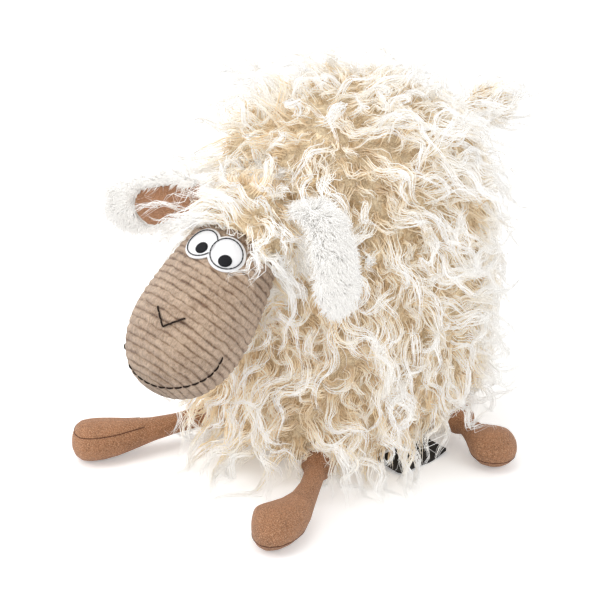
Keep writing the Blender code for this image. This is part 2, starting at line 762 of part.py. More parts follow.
def build_body(looks, floor, slit, sockets):
    """The fleece round the body, hollowed for its stuffing, with a socket for what it carries."""
    seat = CROWN_RADIUS + NECK_FLEECE + 2 * NECK_ROOM
    cover = add_loft("body_cover", loaf_loops(0, 0, BODY_RINGS), looks["wool"])
    base_inset = FLEECE_BELLY + BELLY_PRESS
    cavity = add_loft("body_cavity", loaf_loops(FLEECE_SIDE, base_inset, CAVITY_RINGS))
    cut(cavity, add_ball("neck_wall", NECK_PLACE, seat + FLEECE_NECK, HEAD_SEGMENTS))
    cut(cover, floor)
    cut(cover, cavity)
    cut(cover, add_ball("neck_socket", NECK_PLACE, seat, HEAD_SEGMENTS))
    cut(cover, slit)
    for socket in sockets:
        cut(cover, socket)
    room = 2 * GAP
    stuffing_loops = loaf_loops(FLEECE_SIDE + room, base_inset + room, CAVITY_RINGS)
    stuffing = add_loft("body_stuffing", stuffing_loops, looks["stuffing"])
    cut(stuffing, add_ball("stuffing_hollow", NECK_PLACE, seat + FLEECE_NECK + room, HEAD_SEGMENTS))


def main():
    clear_scene()
    looks = {
        "wool": make_look("long_wool", (0.86, 0.80, 0.70), 0.9),
        "face": make_look("ribbed_chenille", (0.60, 0.46, 0.36), 0.85),
        "suede": make_look("copper_suede", (0.58, 0.36, 0.22), 0.7),
        "plush": make_look("white_plush", (0.90, 0.88, 0.84), 0.9),
        "felt": make_look("white_felt", (0.93, 0.93, 0.92), 0.8),
        "thread": make_look("dark_thread", (0.03, 0.028, 0.03), 0.5),
        "stuffing": make_look("polyester_filling", (0.95, 0.95, 0.95), 0.9),
        "label": make_look("black_cloth", (0.02, 0.02, 0.02), 0.8),
        "closing": make_look("cream_thread", (0.85, 0.80, 0.70), 0.6),
    }
    body_reach = BODY_HALF_WIDTH + BODY_FRONT_LENGTH
    floor = add_block("floor_cut", (-2 * body_reach, -2 * body_reach, -BODY_HEIGHT),
                      (2 * body_reach, 2 * body_reach, 0))
    neck = add_pivot("neck_pivot", Matrix.Translation(NECK_PLACE) @ Matrix.Rotation(HEAD_TURN, 4, 'Z'))
    nod = Matrix.Rotation(HEAD_PITCH, 4, 'X')
    tilt = Matrix.Rotation(HEAD_ROLL, 4, 'Y') @ Matrix.Rotation(HEAD_LEAN, 4, 'Z')
    head = add_pivot("head_pivot", nod @ tilt, neck)
    build_neck(looks["wool"], neck)
    build_head(looks["face"], looks["stuffing"], looks["wool"], head)
    build_eyes(looks["felt"], looks["thread"], head)
    build_nose_and_mouth(looks["thread"], head)
    sockets = []
    for number, swing in enumerate(HEAD_SWINGS):
        bowed = Matrix.Rotation(swing, 4, 'Z') @ Matrix.Rotation(LOWEST_NOD, 4, 'X') @ nod @ tilt
        lowered = add_pivot(f"bowed_head_pivot_{number}", bowed, neck)
        sockets.append(add_loft(f"throat_{number}", head_loops(-THROAT_ROOM, HEAD_RINGS), None, lowered))
    sockets += [build_leg(name, looks, floor) for name in LEG_PLACES]
    sockets.append(build_tail(looks["wool"]))
    for side in EAR_TWISTS:
        ear = build_ear(side, looks["plush"], looks["suede"], head)
        middle = Vector((EAR_ROOM_OUT, 0, 0))
        sockets.append(add_ball(f"ear_room_{side}", middle, EAR_ROOM, HEAD_SEGMENTS, None, ear))
    sockets.append(build_label(looks["label"]))
    build_body(looks, floor, build_seam(looks["closing"]), sockets)


main()
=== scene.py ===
"""Plush sheep, dressed: curly long wool, a ribbed face, plush ears and suede legs.

Metres, +Z up. The sheep looks along -Y and its left side is at +X.
"""
import json
import math
from typing import NamedTuple

import bmesh
import bpy
import numpy as np
from bpy.props import FloatProperty, FloatVectorProperty, IntProperty, PointerProperty
from mathutils import Matrix, Vector, noise
from mathutils.bvhtree import BVHTree


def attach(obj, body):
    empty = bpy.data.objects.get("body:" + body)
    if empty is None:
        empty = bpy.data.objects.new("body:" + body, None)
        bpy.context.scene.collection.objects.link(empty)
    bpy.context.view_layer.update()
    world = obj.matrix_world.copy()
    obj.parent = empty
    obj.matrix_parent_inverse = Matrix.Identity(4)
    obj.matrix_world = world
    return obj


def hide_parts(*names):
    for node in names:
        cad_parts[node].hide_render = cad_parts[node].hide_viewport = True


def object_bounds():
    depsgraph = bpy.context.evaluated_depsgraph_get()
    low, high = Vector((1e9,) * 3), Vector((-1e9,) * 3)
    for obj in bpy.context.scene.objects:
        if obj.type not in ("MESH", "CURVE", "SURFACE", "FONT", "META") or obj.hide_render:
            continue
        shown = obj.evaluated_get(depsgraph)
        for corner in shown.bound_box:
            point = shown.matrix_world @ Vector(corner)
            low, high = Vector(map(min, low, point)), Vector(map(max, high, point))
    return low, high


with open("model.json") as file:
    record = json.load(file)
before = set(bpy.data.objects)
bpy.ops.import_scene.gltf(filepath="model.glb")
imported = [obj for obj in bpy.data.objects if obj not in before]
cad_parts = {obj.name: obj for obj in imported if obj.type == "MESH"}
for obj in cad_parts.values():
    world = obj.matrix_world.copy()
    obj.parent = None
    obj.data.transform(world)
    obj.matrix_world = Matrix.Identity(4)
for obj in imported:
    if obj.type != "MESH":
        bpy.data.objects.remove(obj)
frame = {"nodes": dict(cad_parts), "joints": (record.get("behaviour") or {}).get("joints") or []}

CAD_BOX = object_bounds()
# How far wool may reach past the solids' box along each axis
ROOM = Vector((0.0170, 0.0205, 0.0185))
JOINTS = {joint["name"]: joint for joint in frame["joints"]}

bl_info = {
    "name": "Plush sheep",
    "version": (1, 0, 0),
    "blender": (4, 5, 0),
    "location": "3D View > Sidebar > Plush sheep",
    "description": "Builds the wool, face, ears, legs and label of a stuffed toy sheep",
    "category": "Add Mesh",
}

# Photograph's camera
CAMERA_HEADING = math.radians(45)
CAMERA_RISE = math.radians(25)
CAMERA_DISTANCE = 1.4
CAMERA_TARGET = Vector((0, -0.061, 0.13))
CAMERA_BACK = Vector((math.sin(CAMERA_HEADING) * math.cos(CAMERA_RISE),
                      -math.cos(CAMERA_HEADING) * math.cos(CAMERA_RISE), math.sin(CAMERA_RISE)))
SENSOR_WIDTH = 36
PHOTO_WIDTH = 600
FOCAL_PIXELS = 1750

# The head's egg, in its own frame, as the solids have it
NECK = Vector(JOINTS["head_turn"]["pos_m"])
HEAD_FRAME = (
    Matrix.Translation(NECK)
    @ Matrix.Rotation(math.radians(10), 4, 'Z')
    @ Matrix.Rotation(math.radians(43), 4, 'X')
    @ Matrix.Rotation(math.radians(7), 4, 'Y')
    @ Matrix.Rotation(math.radians(-4), 4, 'Z')
)
HEAD_LENGTH = 0.170
BEHIND_NECK = 0.034
HEAD_RISE = 0.003
FOREHEAD = 0.036
MUZZLE = 0.052
FULLNESS = 2.35
DEPTH_SHARE = 0.86

# Sides of a wool strand, columns of shades in its map, and the name of that map
SIDES = 3
COLUMNS = 40
WOOL_MAP = "OFBake"

# Heights over the floor: where wool starts to spread on it, and the lowest that locks and strands lie
SPREAD_BELOW = 0.028
LOWEST_LOCK = 0.0022
LOWEST_STRAND = 0.0012

# How far strands keep from the face, the ears and the legs
OFF_FACE = 0.0025
OFF_EARS = 0.0020
OFF_LEGS = 0.0012

FLOOR_GLOW = 0.27
WORLD_LIGHT = 0.78


def clamp(value):
    """A value kept between 0 and 1."""
    return max(0.0, min(1.0, value))


def fewer(full):
    return full


def metres(name, text, value):
    """A length that a user may change."""
    return FloatProperty(name=name, description=text, default=value, subtype='DISTANCE', unit='LENGTH')


def colour(name, text, value):
    """A colour that a user may change."""
    return FloatVectorProperty(name=name, description=text, default=value, subtype='COLOR', size=3)


def count(name, text, value):
    """A whole number that a user may change."""
    return IntProperty(name=name, description=text, default=value, min=1)


class SheepWool(bpy.types.PropertyGroup):
    spacing: metres("Lock spacing", "Least distance between the roots of two long locks", 0.0118)
    length: metres("Lock length", "Length of a long lock", 0.062)
    rise: metres("Rise", "How far the long locks stand off the body", 0.022)
    width: metres("Lock width", "Spread of a lock's strands at the root", 0.0092)
    thickness: metres("Strand radius", "Half thickness of a strand", 0.00037)
    curl: metres("Curl width", "How far a lock curls to each side", 0.0044)
    wave: metres("Curl length", "Length of one curl along a lock", 0.040)
    strands: count("Strands", "Strands in a long lock", 11)
    under_spacing: metres("Underwool spacing", "Least distance between two tufts of golden underwool", 0.0078)
    under_length: metres("Underwool length", "Length of the golden underwool", 0.030)
    under_strands: count("Underwool strands", "Strands in a tuft of underwool", 8)
    root: colour("Root", "Wool colour near the cloth", (0.85, 0.68, 0.45))
    middle: colour("Middle", "Wool colour halfway out", (0.95, 0.90, 0.80))
    tip: colour("Tip", "Wool colour at the tips", (0.97, 0.96, 0.94))


class SheepFace(bpy.types.PropertyGroup):
    rib: metres("Rib width", "Width of one rib of the face cloth", 0.0064)
    groove: metres("Groove depth", "How deep the grooves between ribs are", 0.0013)
    light: colour("Light yarn", "Light fibres of the face cloth", (0.74, 0.55, 0.40))
    dark: colour("Dark yarn", "Dark fibres of the face cloth", (0.39, 0.25, 0.16))
    thread: colour("Face thread", "Nose and mouth thread", (0.012, 0.007, 0.005))
    outline: colour("Eye thread", "Outlines and pupils", (0.004, 0.004, 0.006))
    felt: colour("Felt", "White of the eyes", (0.90, 0.90, 0.91))


class SheepLimbs(bpy.types.PropertyGroup):
    suede: colour("Suede", "Copper brown of the legs and the ear linings", (0.42, 0.195, 0.095))
    # Colour of the painted glints on the suede's specks.
    painted_glint: colour("Shimmer", "Light specks in the suede", (0.80, 0.48, 0.28))
    plush: colour("Plush", "White of the ears", (0.95, 0.935, 0.91))
    nap: metres("Nap", "Length of the plush on the ears", 0.0072)
    nap_count: count("Nap fibres", "Fibres on one ear", 7000)
    cloth: colour("Label", "Cloth of the bare tag", (0.012, 0.011, 0.011))
    seam: metres("Seam thread", "Half thickness of the seam thread", 0.00035)


class Value:
    """A socket in a sum: an expression on values adds its Math nodes."""

    def __init__(self, look, socket):
        self.look = look
        self.socket = socket

    def maths(self, operation, *others):
        """This value, then the others, through a Math node."""
        return self.look.node('ShaderNodeMath', {"operation": operation}, dict(enumerate((self, *others))))

    def __add__(self, other):
        return self.maths('ADD', other)

    def __sub__(self, other):
        return self.maths('SUBTRACT', other)

    def __rsub__(self, other):
        return self.maths('MULTIPLY', -1.0) + other

    def __mul__(self, other):
        return self.maths('MULTIPLY', other)


class Look:
    """A material with a Principled shader and the nodes that feed it."""

    def __init__(self, name, roughness, sheen=0.0):
        self.material = bpy.data.materials.new(name)
        self.material.use_nodes = True
        self.tree = self.material.node_tree
        self.shader = self.tree.nodes["Principled BSDF"]
        self.set("Roughness", roughness)
        self.set("Sheen Weight", sheen)
        self.set("Specular IOR Level", 0.3)

    def node(self, kind, settings=None, inputs=None, output=0):
        made = self.tree.nodes.new(kind)
        for name, value in (settings or {}).items():
            if name == "stops":
                self.set_stops(made.color_ramp, value)
            else:
                setattr(made, name, value)
        for key, value in (inputs or {}).items():
            if isinstance(value, Value):
                self.tree.links.new(value.socket, made.inputs[key])
            else:
                made.inputs[key].default_value = value
        return Value(self, made.outputs[output])

    def set_stops(self, ramp, stops):
        while len(ramp.elements) < len(stops):
            ramp.elements.new(1)
        for element, (place, shade) in zip(ramp.elements, stops):
            element.position = place
            element.color = (*shade, 1)

    def set(self, name, value):
        if isinstance(value, Value):
            self.tree.links.new(value.socket, self.shader.inputs[name])
        else:
            self.shader.inputs[name].default_value = value

    def places(self):
        return self.node('ShaderNodeTexCoord', output="Object")

    def noise(self, where, scale, detail=2.0, rough=0.5, stretch=(1, 1, 1), output=0):
        if stretch != (1, 1, 1):
            where = self.node('ShaderNodeMapping', inputs={"Vector": where, "Scale": stretch})
        return self.node('ShaderNodeTexNoise', inputs={
            "Vector": where, "Scale": scale, "Detail": detail, "Roughness": rough}, output=output)

    def ramp(self, amount, stops):
        return self.node('ShaderNodeValToRGB', {"stops": stops}, {"Fac": amount})

    def mix(self, amount, first, second):
        return self.node('ShaderNodeMix', {"data_type": 'RGBA'}, {0: amount, 6: first, 7: second}, output=2)

    def bump(self, height, distance):
        self.set("Normal", self.node('ShaderNodeBump', inputs={"Height": height, "Distance": distance}))

    def map_parts(self, name):
        """A map of the mesh: both of its parts together, across and along."""
        uv = self.node('ShaderNodeUVMap', {"uv_map": name})
        across = self.node('ShaderNodeSeparateXYZ', inputs={0: uv}, output=0)
        along = self.node('ShaderNodeSeparateXYZ', inputs={0: uv}, output=1)
        return uv, across, along


def four(shade):
    """A colour as a socket takes it."""
    return (*shade, 1)


def strand_look(name, root, middle, tip, pale, painted_glow):
    """Wool or nap: its colour runs along each strand, in a map where each column is a shade, and is also given off as
    a painted glow for light scattered through the strands.
    """
    look = Look(name, 0.62, 0.9)
    uv, across, along = look.map_parts(WOOL_MAP)
    fleck = look.noise(uv, 9.0, 1.0, 0.5, (9, 1, 1))
    place = along + (across - 0.5) * pale + (fleck - 0.5) * 0.35
    shade = look.ramp(place, [(0.0, root), (0.22, middle), (0.46, tip), (1.0, tip)])
    look.set("Base Color", shade)
    # Painted glow: the strand's colour is emitted too, standing in for light that scatters through the wool.
    look.set("Emission Color", shade)
    look.set("Emission Strength", painted_glow)
    return look.material


def fleece_look(name, deep, pale):
    """The knitted back of the wool, seen between the locks: fibres that lie downwards, darker in part as painted
    shade of the gaps between the locks, with a faint painted glow.
    """
    look = Look(name, 0.9)
    places = look.places()
    patches = look.noise(places, 90.0, 3.0, 0.6)
    bend = look.noise(places, 60.0, 2.0, 0.5, output=1)
    bent = look.node('ShaderNodeVectorMath', {"operation": 'MULTIPLY_ADD'},
                     {0: bend, 1: (0.03, 0.03, 0.0), 2: places})
    fibres = look.noise(bent, 620.0, 3.0, 0.75, (1, 1, 0.12))
    # The deep colour is partly painted shade of the gaps between the locks.
    shade = look.ramp(patches * 0.7 + fibres * 1.1 - 0.42, [(0.25, deep), (0.62, pale)])
    look.set("Base Color", shade)
    # Painted glow: the colour is emitted faintly, for light scattered through the wool.
    look.set("Emission Color", shade)
    look.set("Emission Strength", 0.09)
    look.bump(fibres, 0.0030)
    return look.material


def chenille_look(face):
    """Soft ribs of heathered two-tone yarn with painted shade in their broken grooves, laid out in the face's map."""
    look = Look("ribbed_chenille", 0.88, 0.35)
    uv, across, along = look.map_parts("Ribs")
    places = look.places()
    wander = look.noise(places, 55.0, 3.0, 0.6)
    rows = along + (wander - 0.5) * 0.85
    phase = rows.maths('FRACT')
    crest = (phase - 0.5).maths('ABSOLUTE') * -2.0 + 1.0
    twist = across * 1.6 + phase * 1.1 + (wander - 0.5) * 4.0
    slant = (twist * math.tau).maths('SINE') * 0.5 + 0.5
    yarn = look.noise(places, 330.0, 3.0, 0.7)
    fibres = look.noise(uv, 1.0, 3.0, 0.7, (7, 1.3, 1))
    cloud = look.noise(places, 45.0, 3.0, 0.6)
    blend = yarn * 2.3 + cloud * 1.2 + slant * 0.05 + fibres * 1.9 - 2.12
    yarns = look.mix(blend, four(face.dark), four(face.light))
    breaks = look.noise(places, 95.0, 3.0, 0.65)
    edge = crest + (breaks - 0.46) * 1.15
    # Painted shade: darkens the broken grooves between the ribs and leaves the crests at the yarn's colour.
    shade = look.ramp(edge, [(0.0, (0.40, 0.31, 0.25)), (0.14, (0.62, 0.53, 0.45)),
                             (0.34, (0.91, 0.88, 0.85)), (0.55, (1.0, 1.0, 1.0))])
    look.set("Base Color", look.node('ShaderNodeMix', {"data_type": 'RGBA', "blend_type": 'MULTIPLY'},
                                     {0: 1.0, 6: yarns, 7: shade}, output=2))
    height = (crest * 2.0).maths('MINIMUM', 1.0) * 0.6 + slant * 0.08 + yarn * 1.2 + fibres * 1.6
    look.bump(height, 0.0016)
    return look.material


def suede_look(limbs):
    """Copper suede with a fine even spread of specks, lightened as painted glints and less rough."""
    look = Look("copper_suede", 0.62, 0.12)
    places = look.places()
    grain = look.noise(places, 900.0, 3.0, 0.75)
    specks = look.noise(places, 1300.0, 2.0, 0.6)
    cloud = look.noise(places, 38.0, 3.0, 0.6)
    glint_specks = ((specks - 0.50) * 5.0).maths('MAXIMUM', 0.0).maths('MINIMUM', 1.0)
    deep = tuple(0.36 * part for part in limbs.suede)
    base = look.ramp(grain * 1.5 + cloud * 0.45 - 0.45, [(0.22, deep), (0.62, tuple(limbs.suede))])
    # Painted glints: the specks are lightened towards the glint colour; they are also less rough.
    look.set("Base Color", look.mix(glint_specks * 0.70, base, four(limbs.painted_glint)))
    look.set("Roughness", 0.66 - glint_specks * 0.20)
    look.bump(grain * 0.8 + specks * 0.6, 0.0010)
    return look.material


def plain_cloth_look(name, shade, other, roughness, scale, depth):
    """Felt, thread or plush backing: two close shades in fine fibres."""
    look = Look(name, roughness, 0.3 * max(shade))
    look.set("Specular IOR Level", 0.15 + 0.3 * max(shade))
    places = look.places()
    fibres = look.noise(places, scale, 3.0, 0.7)
    cloud = look.noise(places, scale / 8, 2.0)
    look.set("Base Color", look.mix(fibres * 0.7 + cloud * 0.5 - 0.1, four(other), four(shade)))
    look.bump(fibres, depth)
    return look.material


def woven_look(limbs):
    """Black woven tape, its threads in the label's own map."""
    look = Look("black_cloth", 0.72, 0.1)
    _, across, along = look.map_parts("Weave")
    warp = (across * math.tau).maths('SINE') * 0.5 + 0.5
    weft = (along * math.tau).maths('SINE') * 0.5 + 0.5
    fuzz = look.noise(look.places(), 700.0, 3.0, 0.7)
    light = tuple(part * 3.2 + 0.01 for part in limbs.cloth)
    look.set("Base Color", look.mix(warp * weft * 0.5 + fuzz * 0.4, four(limbs.cloth), four(light)))
    look.bump(warp * 0.5 + weft * 0.5 + fuzz * 0.3, 0.0003)
    return look.material


LOOKS = {}


def looks():
    """The materials, made once."""
    if LOOKS:
        return LOOKS
    scene = bpy.context.scene
    wool, face, limbs = scene.sheep_wool, scene.sheep_face, scene.sheep_limbs
    root, middle, tip = tuple(wool.root), tuple(wool.middle), tuple(wool.tip)
    plush = tuple(limbs.plush)
    LOOKS.update({
        # The last number of each strand look is the strength of its painted glow.
        "wool": strand_look("long_wool", root, middle, tip, 0.80, 0.22),
        "underwool": strand_look("underwool", (0.68, 0.49, 0.28), (0.91, 0.77, 0.56), (0.96, 0.90, 0.80),
                                 0.80, 0.19),
        "nap": strand_look("white_plush", tuple(0.88 * part for part in plush), plush, plush, 0.1, 0.21),
        # The fleece's deep colour is partly painted shade between the locks.
        "fleece": fleece_look("fleece_back", (0.50, 0.33, 0.17), (0.92, 0.76, 0.53)),
        "chenille": chenille_look(face),
        "suede": suede_look(limbs),
        "felt": plain_cloth_look("white_felt", tuple(face.felt), (0.80, 0.80, 0.82), 0.85, 700.0, 0.0003),
        "thread": plain_cloth_look("face_thread", tuple(face.thread), (0.035, 0.020, 0.014), 0.7, 1500.0, 0.0003),
        "eye_thread": plain_cloth_look("eye_thread", tuple(face.outline), (0.020, 0.020, 0.024), 0.6, 1200.0, 0.0004),
        "plush": plain_cloth_look("plush_back", plush, (0.82, 0.79, 0.74), 0.9, 500.0, 0.0008),
        "seam": plain_cloth_look("seam_thread", (0.13, 0.05, 0.03), (0.05, 0.02, 0.012), 0.7, 1500.0, 0.0002),
        "label": woven_look(limbs),
        "filling": plain_cloth_look("polyester_filling", (0.93, 0.93, 0.92), (0.80, 0.80, 0.79), 0.95, 260.0, 0.0020),
        "closing": plain_cloth_look("cream_thread", (0.85, 0.80, 0.70), (0.62, 0.56, 0.46), 0.7, 1500.0, 0.0003),
    })
    return LOOKS


def add_piece(name, mesh, look, body, slot, *nodes):
    """Places a finished mesh in the scene as a piece that rides on a body."""
    made = bpy.data.objects.new(name, mesh)
    bpy.context.scene.collection.objects.link(made)
    mesh.materials.clear()
    mesh.materials.append(looks()[look])
    mesh.polygons.foreach_set("use_smooth", np.ones(len(mesh.polygons), bool))
    mesh.update()
    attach(made, body)
    if nodes:
        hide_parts(*nodes)
    return made


def mesh_from(form, name):
    """Ends a bmesh and returns its mesh."""
    mesh = bpy.data.meshes.new(name)
    form.to_mesh(mesh)
    form.free()
    return mesh


def form_of(*meshes):
    """Some meshes as one bmesh."""
    form = bmesh.new()
    for mesh in meshes:
        form.from_mesh(mesh)
    return form


def meshed(curve):
    """A curve with its bevel, as a mesh."""
    holder = bpy.data.objects.new(curve.name, curve)
    bpy.context.scene.collection.objects.link(holder)
    graph = bpy.context.evaluated_depsgraph_get()
    mesh = bpy.data.meshes.new_from_object(holder.evaluated_get(graph))
    bpy.data.objects.remove(holder)
    return mesh


def node_form(*names):
    """The faces of some CAD nodes as one merged bmesh."""
    form = form_of(*(frame["nodes"][name].data for name in names))
    bmesh.ops.remove_doubles(form, verts=form.verts, dist=1e-5)
    return form


def outer_shell(form):
    """Drops everything but the largest shell of a bmesh."""
    left, shells = set(form.verts), []
    while left:
        seed = left.pop()
        shell, edge = {seed}, [seed]
        while edge:
            for link in edge.pop().link_edges:
                for corner in link.verts:
                    if corner in left:
                        left.discard(corner)
                        shell.add(corner)
                        edge.append(corner)
        shells.append(shell)
    shells.sort(key=len)
    for shell in shells[:-1]:
        bmesh.ops.delete(form, geom=list(shell), context='VERTS')
    return form


def rounded(name, nodes, voxel, passes, inset=0.0):
    """A finely faced, softened copy of the outside of CAD nodes, drawn in by an inset."""
    mesh = mesh_from(node_form(*nodes), name)
    stand_in = bpy.data.objects.new(name, mesh)
    bpy.context.scene.collection.objects.link(stand_in)
    remesh = stand_in.modifiers.new("remesh", 'REMESH')
    remesh.mode = 'VOXEL'
    remesh.voxel_size = voxel
    soften = stand_in.modifiers.new("soften", 'SMOOTH')
    soften.factor = 0.5
    soften.iterations = passes
    if inset:
        shrink = stand_in.modifiers.new("shrink", 'DISPLACE')
        shrink.strength = -inset
        shrink.mid_level = 0
    graph = bpy.context.evaluated_depsgraph_get()
    form = form_of(stand_in.evaluated_get(graph).to_mesh())
    bpy.data.objects.remove(stand_in)
    return mesh_from(outer_shell(form), name)


def tree_of(*meshes):
    """A search tree over the faces of some meshes."""
    corners, faces = [], []
    for mesh in meshes:
        start = len(corners)
        corners += [vertex.co.copy() for vertex in mesh.vertices]
        faces += [[start + corner for corner in polygon.vertices] for polygon in mesh.polygons]
    return BVHTree.FromPolygons(corners, faces)


def node_tree(*names):
    """A search tree over CAD nodes."""
    return tree_of(*(frame["nodes"][name].data for name in names))


def scatter(mesh, wanted, spacing, rng, keep=None):
    """Random places on a mesh, at least a spacing apart, with their normals."""
    mesh.calc_loop_triangles()
    total = len(mesh.loop_triangles)
    corners = np.empty(total * 3, np.int32)
    mesh.loop_triangles.foreach_get("vertices", corners)
    points = np.empty(len(mesh.vertices) * 3)
    mesh.vertices.foreach_get("co", points)
    points = points.reshape(-1, 3)[corners].reshape(-1, 3, 3)
    cross = np.cross(points[:, 1] - points[:, 0], points[:, 2] - points[:, 0])
    area = np.linalg.norm(cross, axis=1)
    pick = rng.choice(total, wanted, p=area / area.sum())
    first, second = rng.random(wanted), rng.random(wanted)
    fold = first + second > 1
    first[fold], second[fold] = 1 - first[fold], 1 - second[fold]
    places = (points[pick, 0] + first[:, None] * (points[pick, 1] - points[pick, 0])
              + second[:, None] * (points[pick, 2] - points[pick, 0]))
    normals = cross[pick] / area[pick, None]
    if keep is not None:
        inside = np.array([keep(Vector(place), Vector(normal)) for place, normal in zip(places, normals)])
        places, normals = places[inside], normals[inside]
    if spacing:
        chosen, cells = [], {}
        for number, place in enumerate(places):
            cell = tuple(np.floor(place / spacing).astype(int))
            near = [
                other
                for x in (-1, 0, 1) for y in (-1, 0, 1) for z in (-1, 0, 1)
                for other in cells.get((cell[0] + x, cell[1] + y, cell[2] + z), ())
            ]
            if all(np.sum((places[other] - place) ** 2) > spacing ** 2 for other in near):
                cells.setdefault(cell, []).append(number)
                chosen.append(number)
        places, normals = places[chosen], normals[chosen]
    return places, normals


class Lock(NamedTuple):
    """One kind of lock: its lengths and counts, how many are wild or loose, and how far it strays."""
    length: float
    rise: float
    width: float
    curl: float
    wave: float
    strands: int
    points: int
    wild: float = 0.1
    loose: float = 0.12
    stray: float = 0.3


class Coat:
    """Wool on a surface: how its locks rise, fall, curl and gather to their tips."""

    steps = 22

    def __init__(self, surface, comb, seed):
        self.surface = surface
        self.comb = comb
        self.rng = np.random.default_rng(seed)

    def splay(self, point):
        """How far the wool spreads out over the floor: most in front, little behind."""
        return 0.25 + 0.9 * clamp(-point.y / 0.08)

    def guide(self, root, normal, length, rise, wild, stray):
        """The middle line of a lock: out of the surface, then along the way it is combed."""
        step = length / (self.steps - 1)
        free = self.rng.uniform(0.25, 0.55) if wild else self.rng.uniform(0.45, 0.9)
        lean = self.rng.uniform(0.5, 1.6) if wild else self.rng.uniform(-0.3, 0.9)
        point, up = Vector(root), Vector(normal)
        line, ups = [point.copy()], [up.copy()]
        heading = Matrix.Rotation(stray, 3, up) @ self.comb(point, up)
        for number in range(1, self.steps):
            share = number / (self.steps - 1)
            hit, up, _, _ = self.surface.find_nearest(point)
            outside = (point - hit).dot(up)
            combed = Matrix.Rotation(stray, 3, up) @ self.comb(point, up)
            heading = (heading * 0.55 + combed * 0.45).normalized()
            lift = max(-0.9, min(1.6, (rise * min(1, share * 3.2) - outside) / step * 0.35))
            if share > free:
                lift = max(lift, lean)
            if point.z > SPREAD_BELOW:
                move = heading + up * lift
            else:
                out = Vector((up.x, up.y, 0)) * self.splay(point) + Vector((heading.x, heading.y, 0)) * 0.5
                move = out + Vector((0, 0, -0.25 - max(0.0, point.z - 0.004) / 0.02))
            point = point + move.normalized() * step
            point.z = max(point.z, LOWEST_LOCK)
            line.append(point.copy())
            ups.append(up.copy())
        return np.array(line), np.array(ups)

    def locks(self, places, normals, lock, fuller=None, tone_of=None):
        """All strands of the locks rooted at some places: their points and shades."""
        rng, steps = self.rng, self.steps
        share = np.linspace(0, 1, steps)
        opening = np.clip(share * 2.4, 0, 1)
        lines, shades = [], []
        for place, normal in zip(places, normals):
            root = Vector(place)
            wild = rng.random() < lock.wild
            length = lock.length * rng.uniform(0.6, 1.25)
            full = fuller(root) if fuller else 1
            rise = lock.rise * rng.uniform(0.5, 1.3) * full
            length *= max(0.8, 1 + 0.30 * (full - 1))
            line, ups = self.guide(place, normal, length, rise, wild, rng.normal(0, lock.stray))
            ahead = np.gradient(line, axis=0)
            ahead /= np.linalg.norm(ahead, axis=1)[:, None]
            side = np.cross(ahead, ups)
            side /= np.maximum(np.linalg.norm(side, axis=1), 1e-9)[:, None]
            over = np.cross(side, ahead)
            tone = (tone_of(root) if tone_of else 0.5) + rng.normal(0, 0.12) + (0.25 if wild else 0)
            phase, turn = rng.uniform(0, math.tau), rng.choice((-1, 1))
            width = lock.curl * rng.uniform(0.5, 1.5)
            wave = lock.wave * rng.uniform(0.6, 1.5)
            flat = rng.uniform(0.15, 0.9)
            for _ in range(lock.strands):
                loose = rng.random() < lock.loose
                reach = lock.width * math.sqrt(rng.random())
                angle = rng.uniform(0, math.tau)
                spread = reach * (1 - (0.45 if loose else rng.uniform(0.88, 0.98)) * share ** 0.6)
                swing = math.tau * share * length / wave + phase + rng.normal(0, 1.2 if loose else 0.15)
                swell = width * (rng.uniform(0.9, 1.8) if loose else rng.uniform(0.92, 1.08)) * opening
                across = np.cos(swing) * swell + spread * math.cos(angle)
                upward = (np.sin(swing) * flat * turn + 0.5) * swell + spread * math.sin(angle) * 0.5
                frizz = np.cumsum(rng.normal(0, 0.00022, (steps, 3)), axis=0)
                path = line + side * across[:, None] + over * upward[:, None] + frizz - frizz[0]
                lines.append(resample(path, rng.uniform(0.72, 1.0), lock.points))
                shades.append(tone + rng.normal(0, 0.10) + (0.15 if loose else 0))
        return np.array(lines), np.clip(np.array(shades), 0, 1)

    def nap(self, places, normals, length, bend, points):
        """Short single hairs: out of the surface and bent over the way they are combed."""
        rng = self.rng
        lines = []
        for place, normal in zip(places, normals):
            up = Vector(normal)
            root = Vector(place)
            heading = self.comb(root, up)
            side = heading.cross(up)
            reach = length * rng.uniform(0.6, 1.3)
            lean = bend * rng.uniform(0.4, 1.5)
            sway = rng.normal(0, 0.42)
            lines.append([root + up * reach * share * (1 - 0.35 * lean * share)
                          + heading * reach * lean * share ** 1.5 + side * reach * sway * share
                          for share in np.linspace(0, 1, points)])
        return np.array(lines, float), np.clip(rng.normal(0.5, 0.16, len(lines)), 0, 1)


def resample(path, length_share, points):
    """The first share of a path, with another number of points."""
    at = np.linspace(0, length_share * (len(path) - 1), points)
    low = np.minimum(at.astype(int), len(path) - 2)
    part = (at - low)[:, None]
    return path[low] * (1 - part) + path[low + 1] * part


def within_room(lines, soft=0.016):
    """Bends back what would reach further from the solids than wool may."""
    for axis in range(3):
        for side, outward in ((0, -1), (1, 1)):
            start = CAD_BOX[side][axis] * outward + ROOM[axis] - soft
            far = lines[:, :, axis] * outward
            if (side, axis) != (0, 2):
                lines[:, :, axis] = outward * np.where(far > start, start + soft * np.tanh((far - start) / soft), far)
    return lines


def clear_of(lines, tree, room):
    """Which strands keep a distance from a piece."""
    return np.array([all(tree.find_nearest(Vector(point), room)[0] is None for point in line[1:])
                     for line in lines])


def out_of_sight(lines, tree):
    """Which strands don't hang before a piece as the photograph's camera sees it."""
    return np.array([all(tree.ray_cast(Vector(point), -CAMERA_BACK, 0.06)[0] is None for point in line[1:])
                     for line in lines])


def push_out(lines, tree, room):
    """Moves strand points that enter a piece, or come too near it, back outside it."""
    strands, points, _ = lines.shape
    for strand in range(strands):
        for number in range(1, points):
            place = Vector(lines[strand, number])
            hit, normal, _, _ = tree.find_nearest(place, 0.03)
            if hit is None:
                continue
            outside = (place - hit).dot(normal)
            if outside < room:
                lines[strand, number] = place + normal * (room - outside)
    return lines


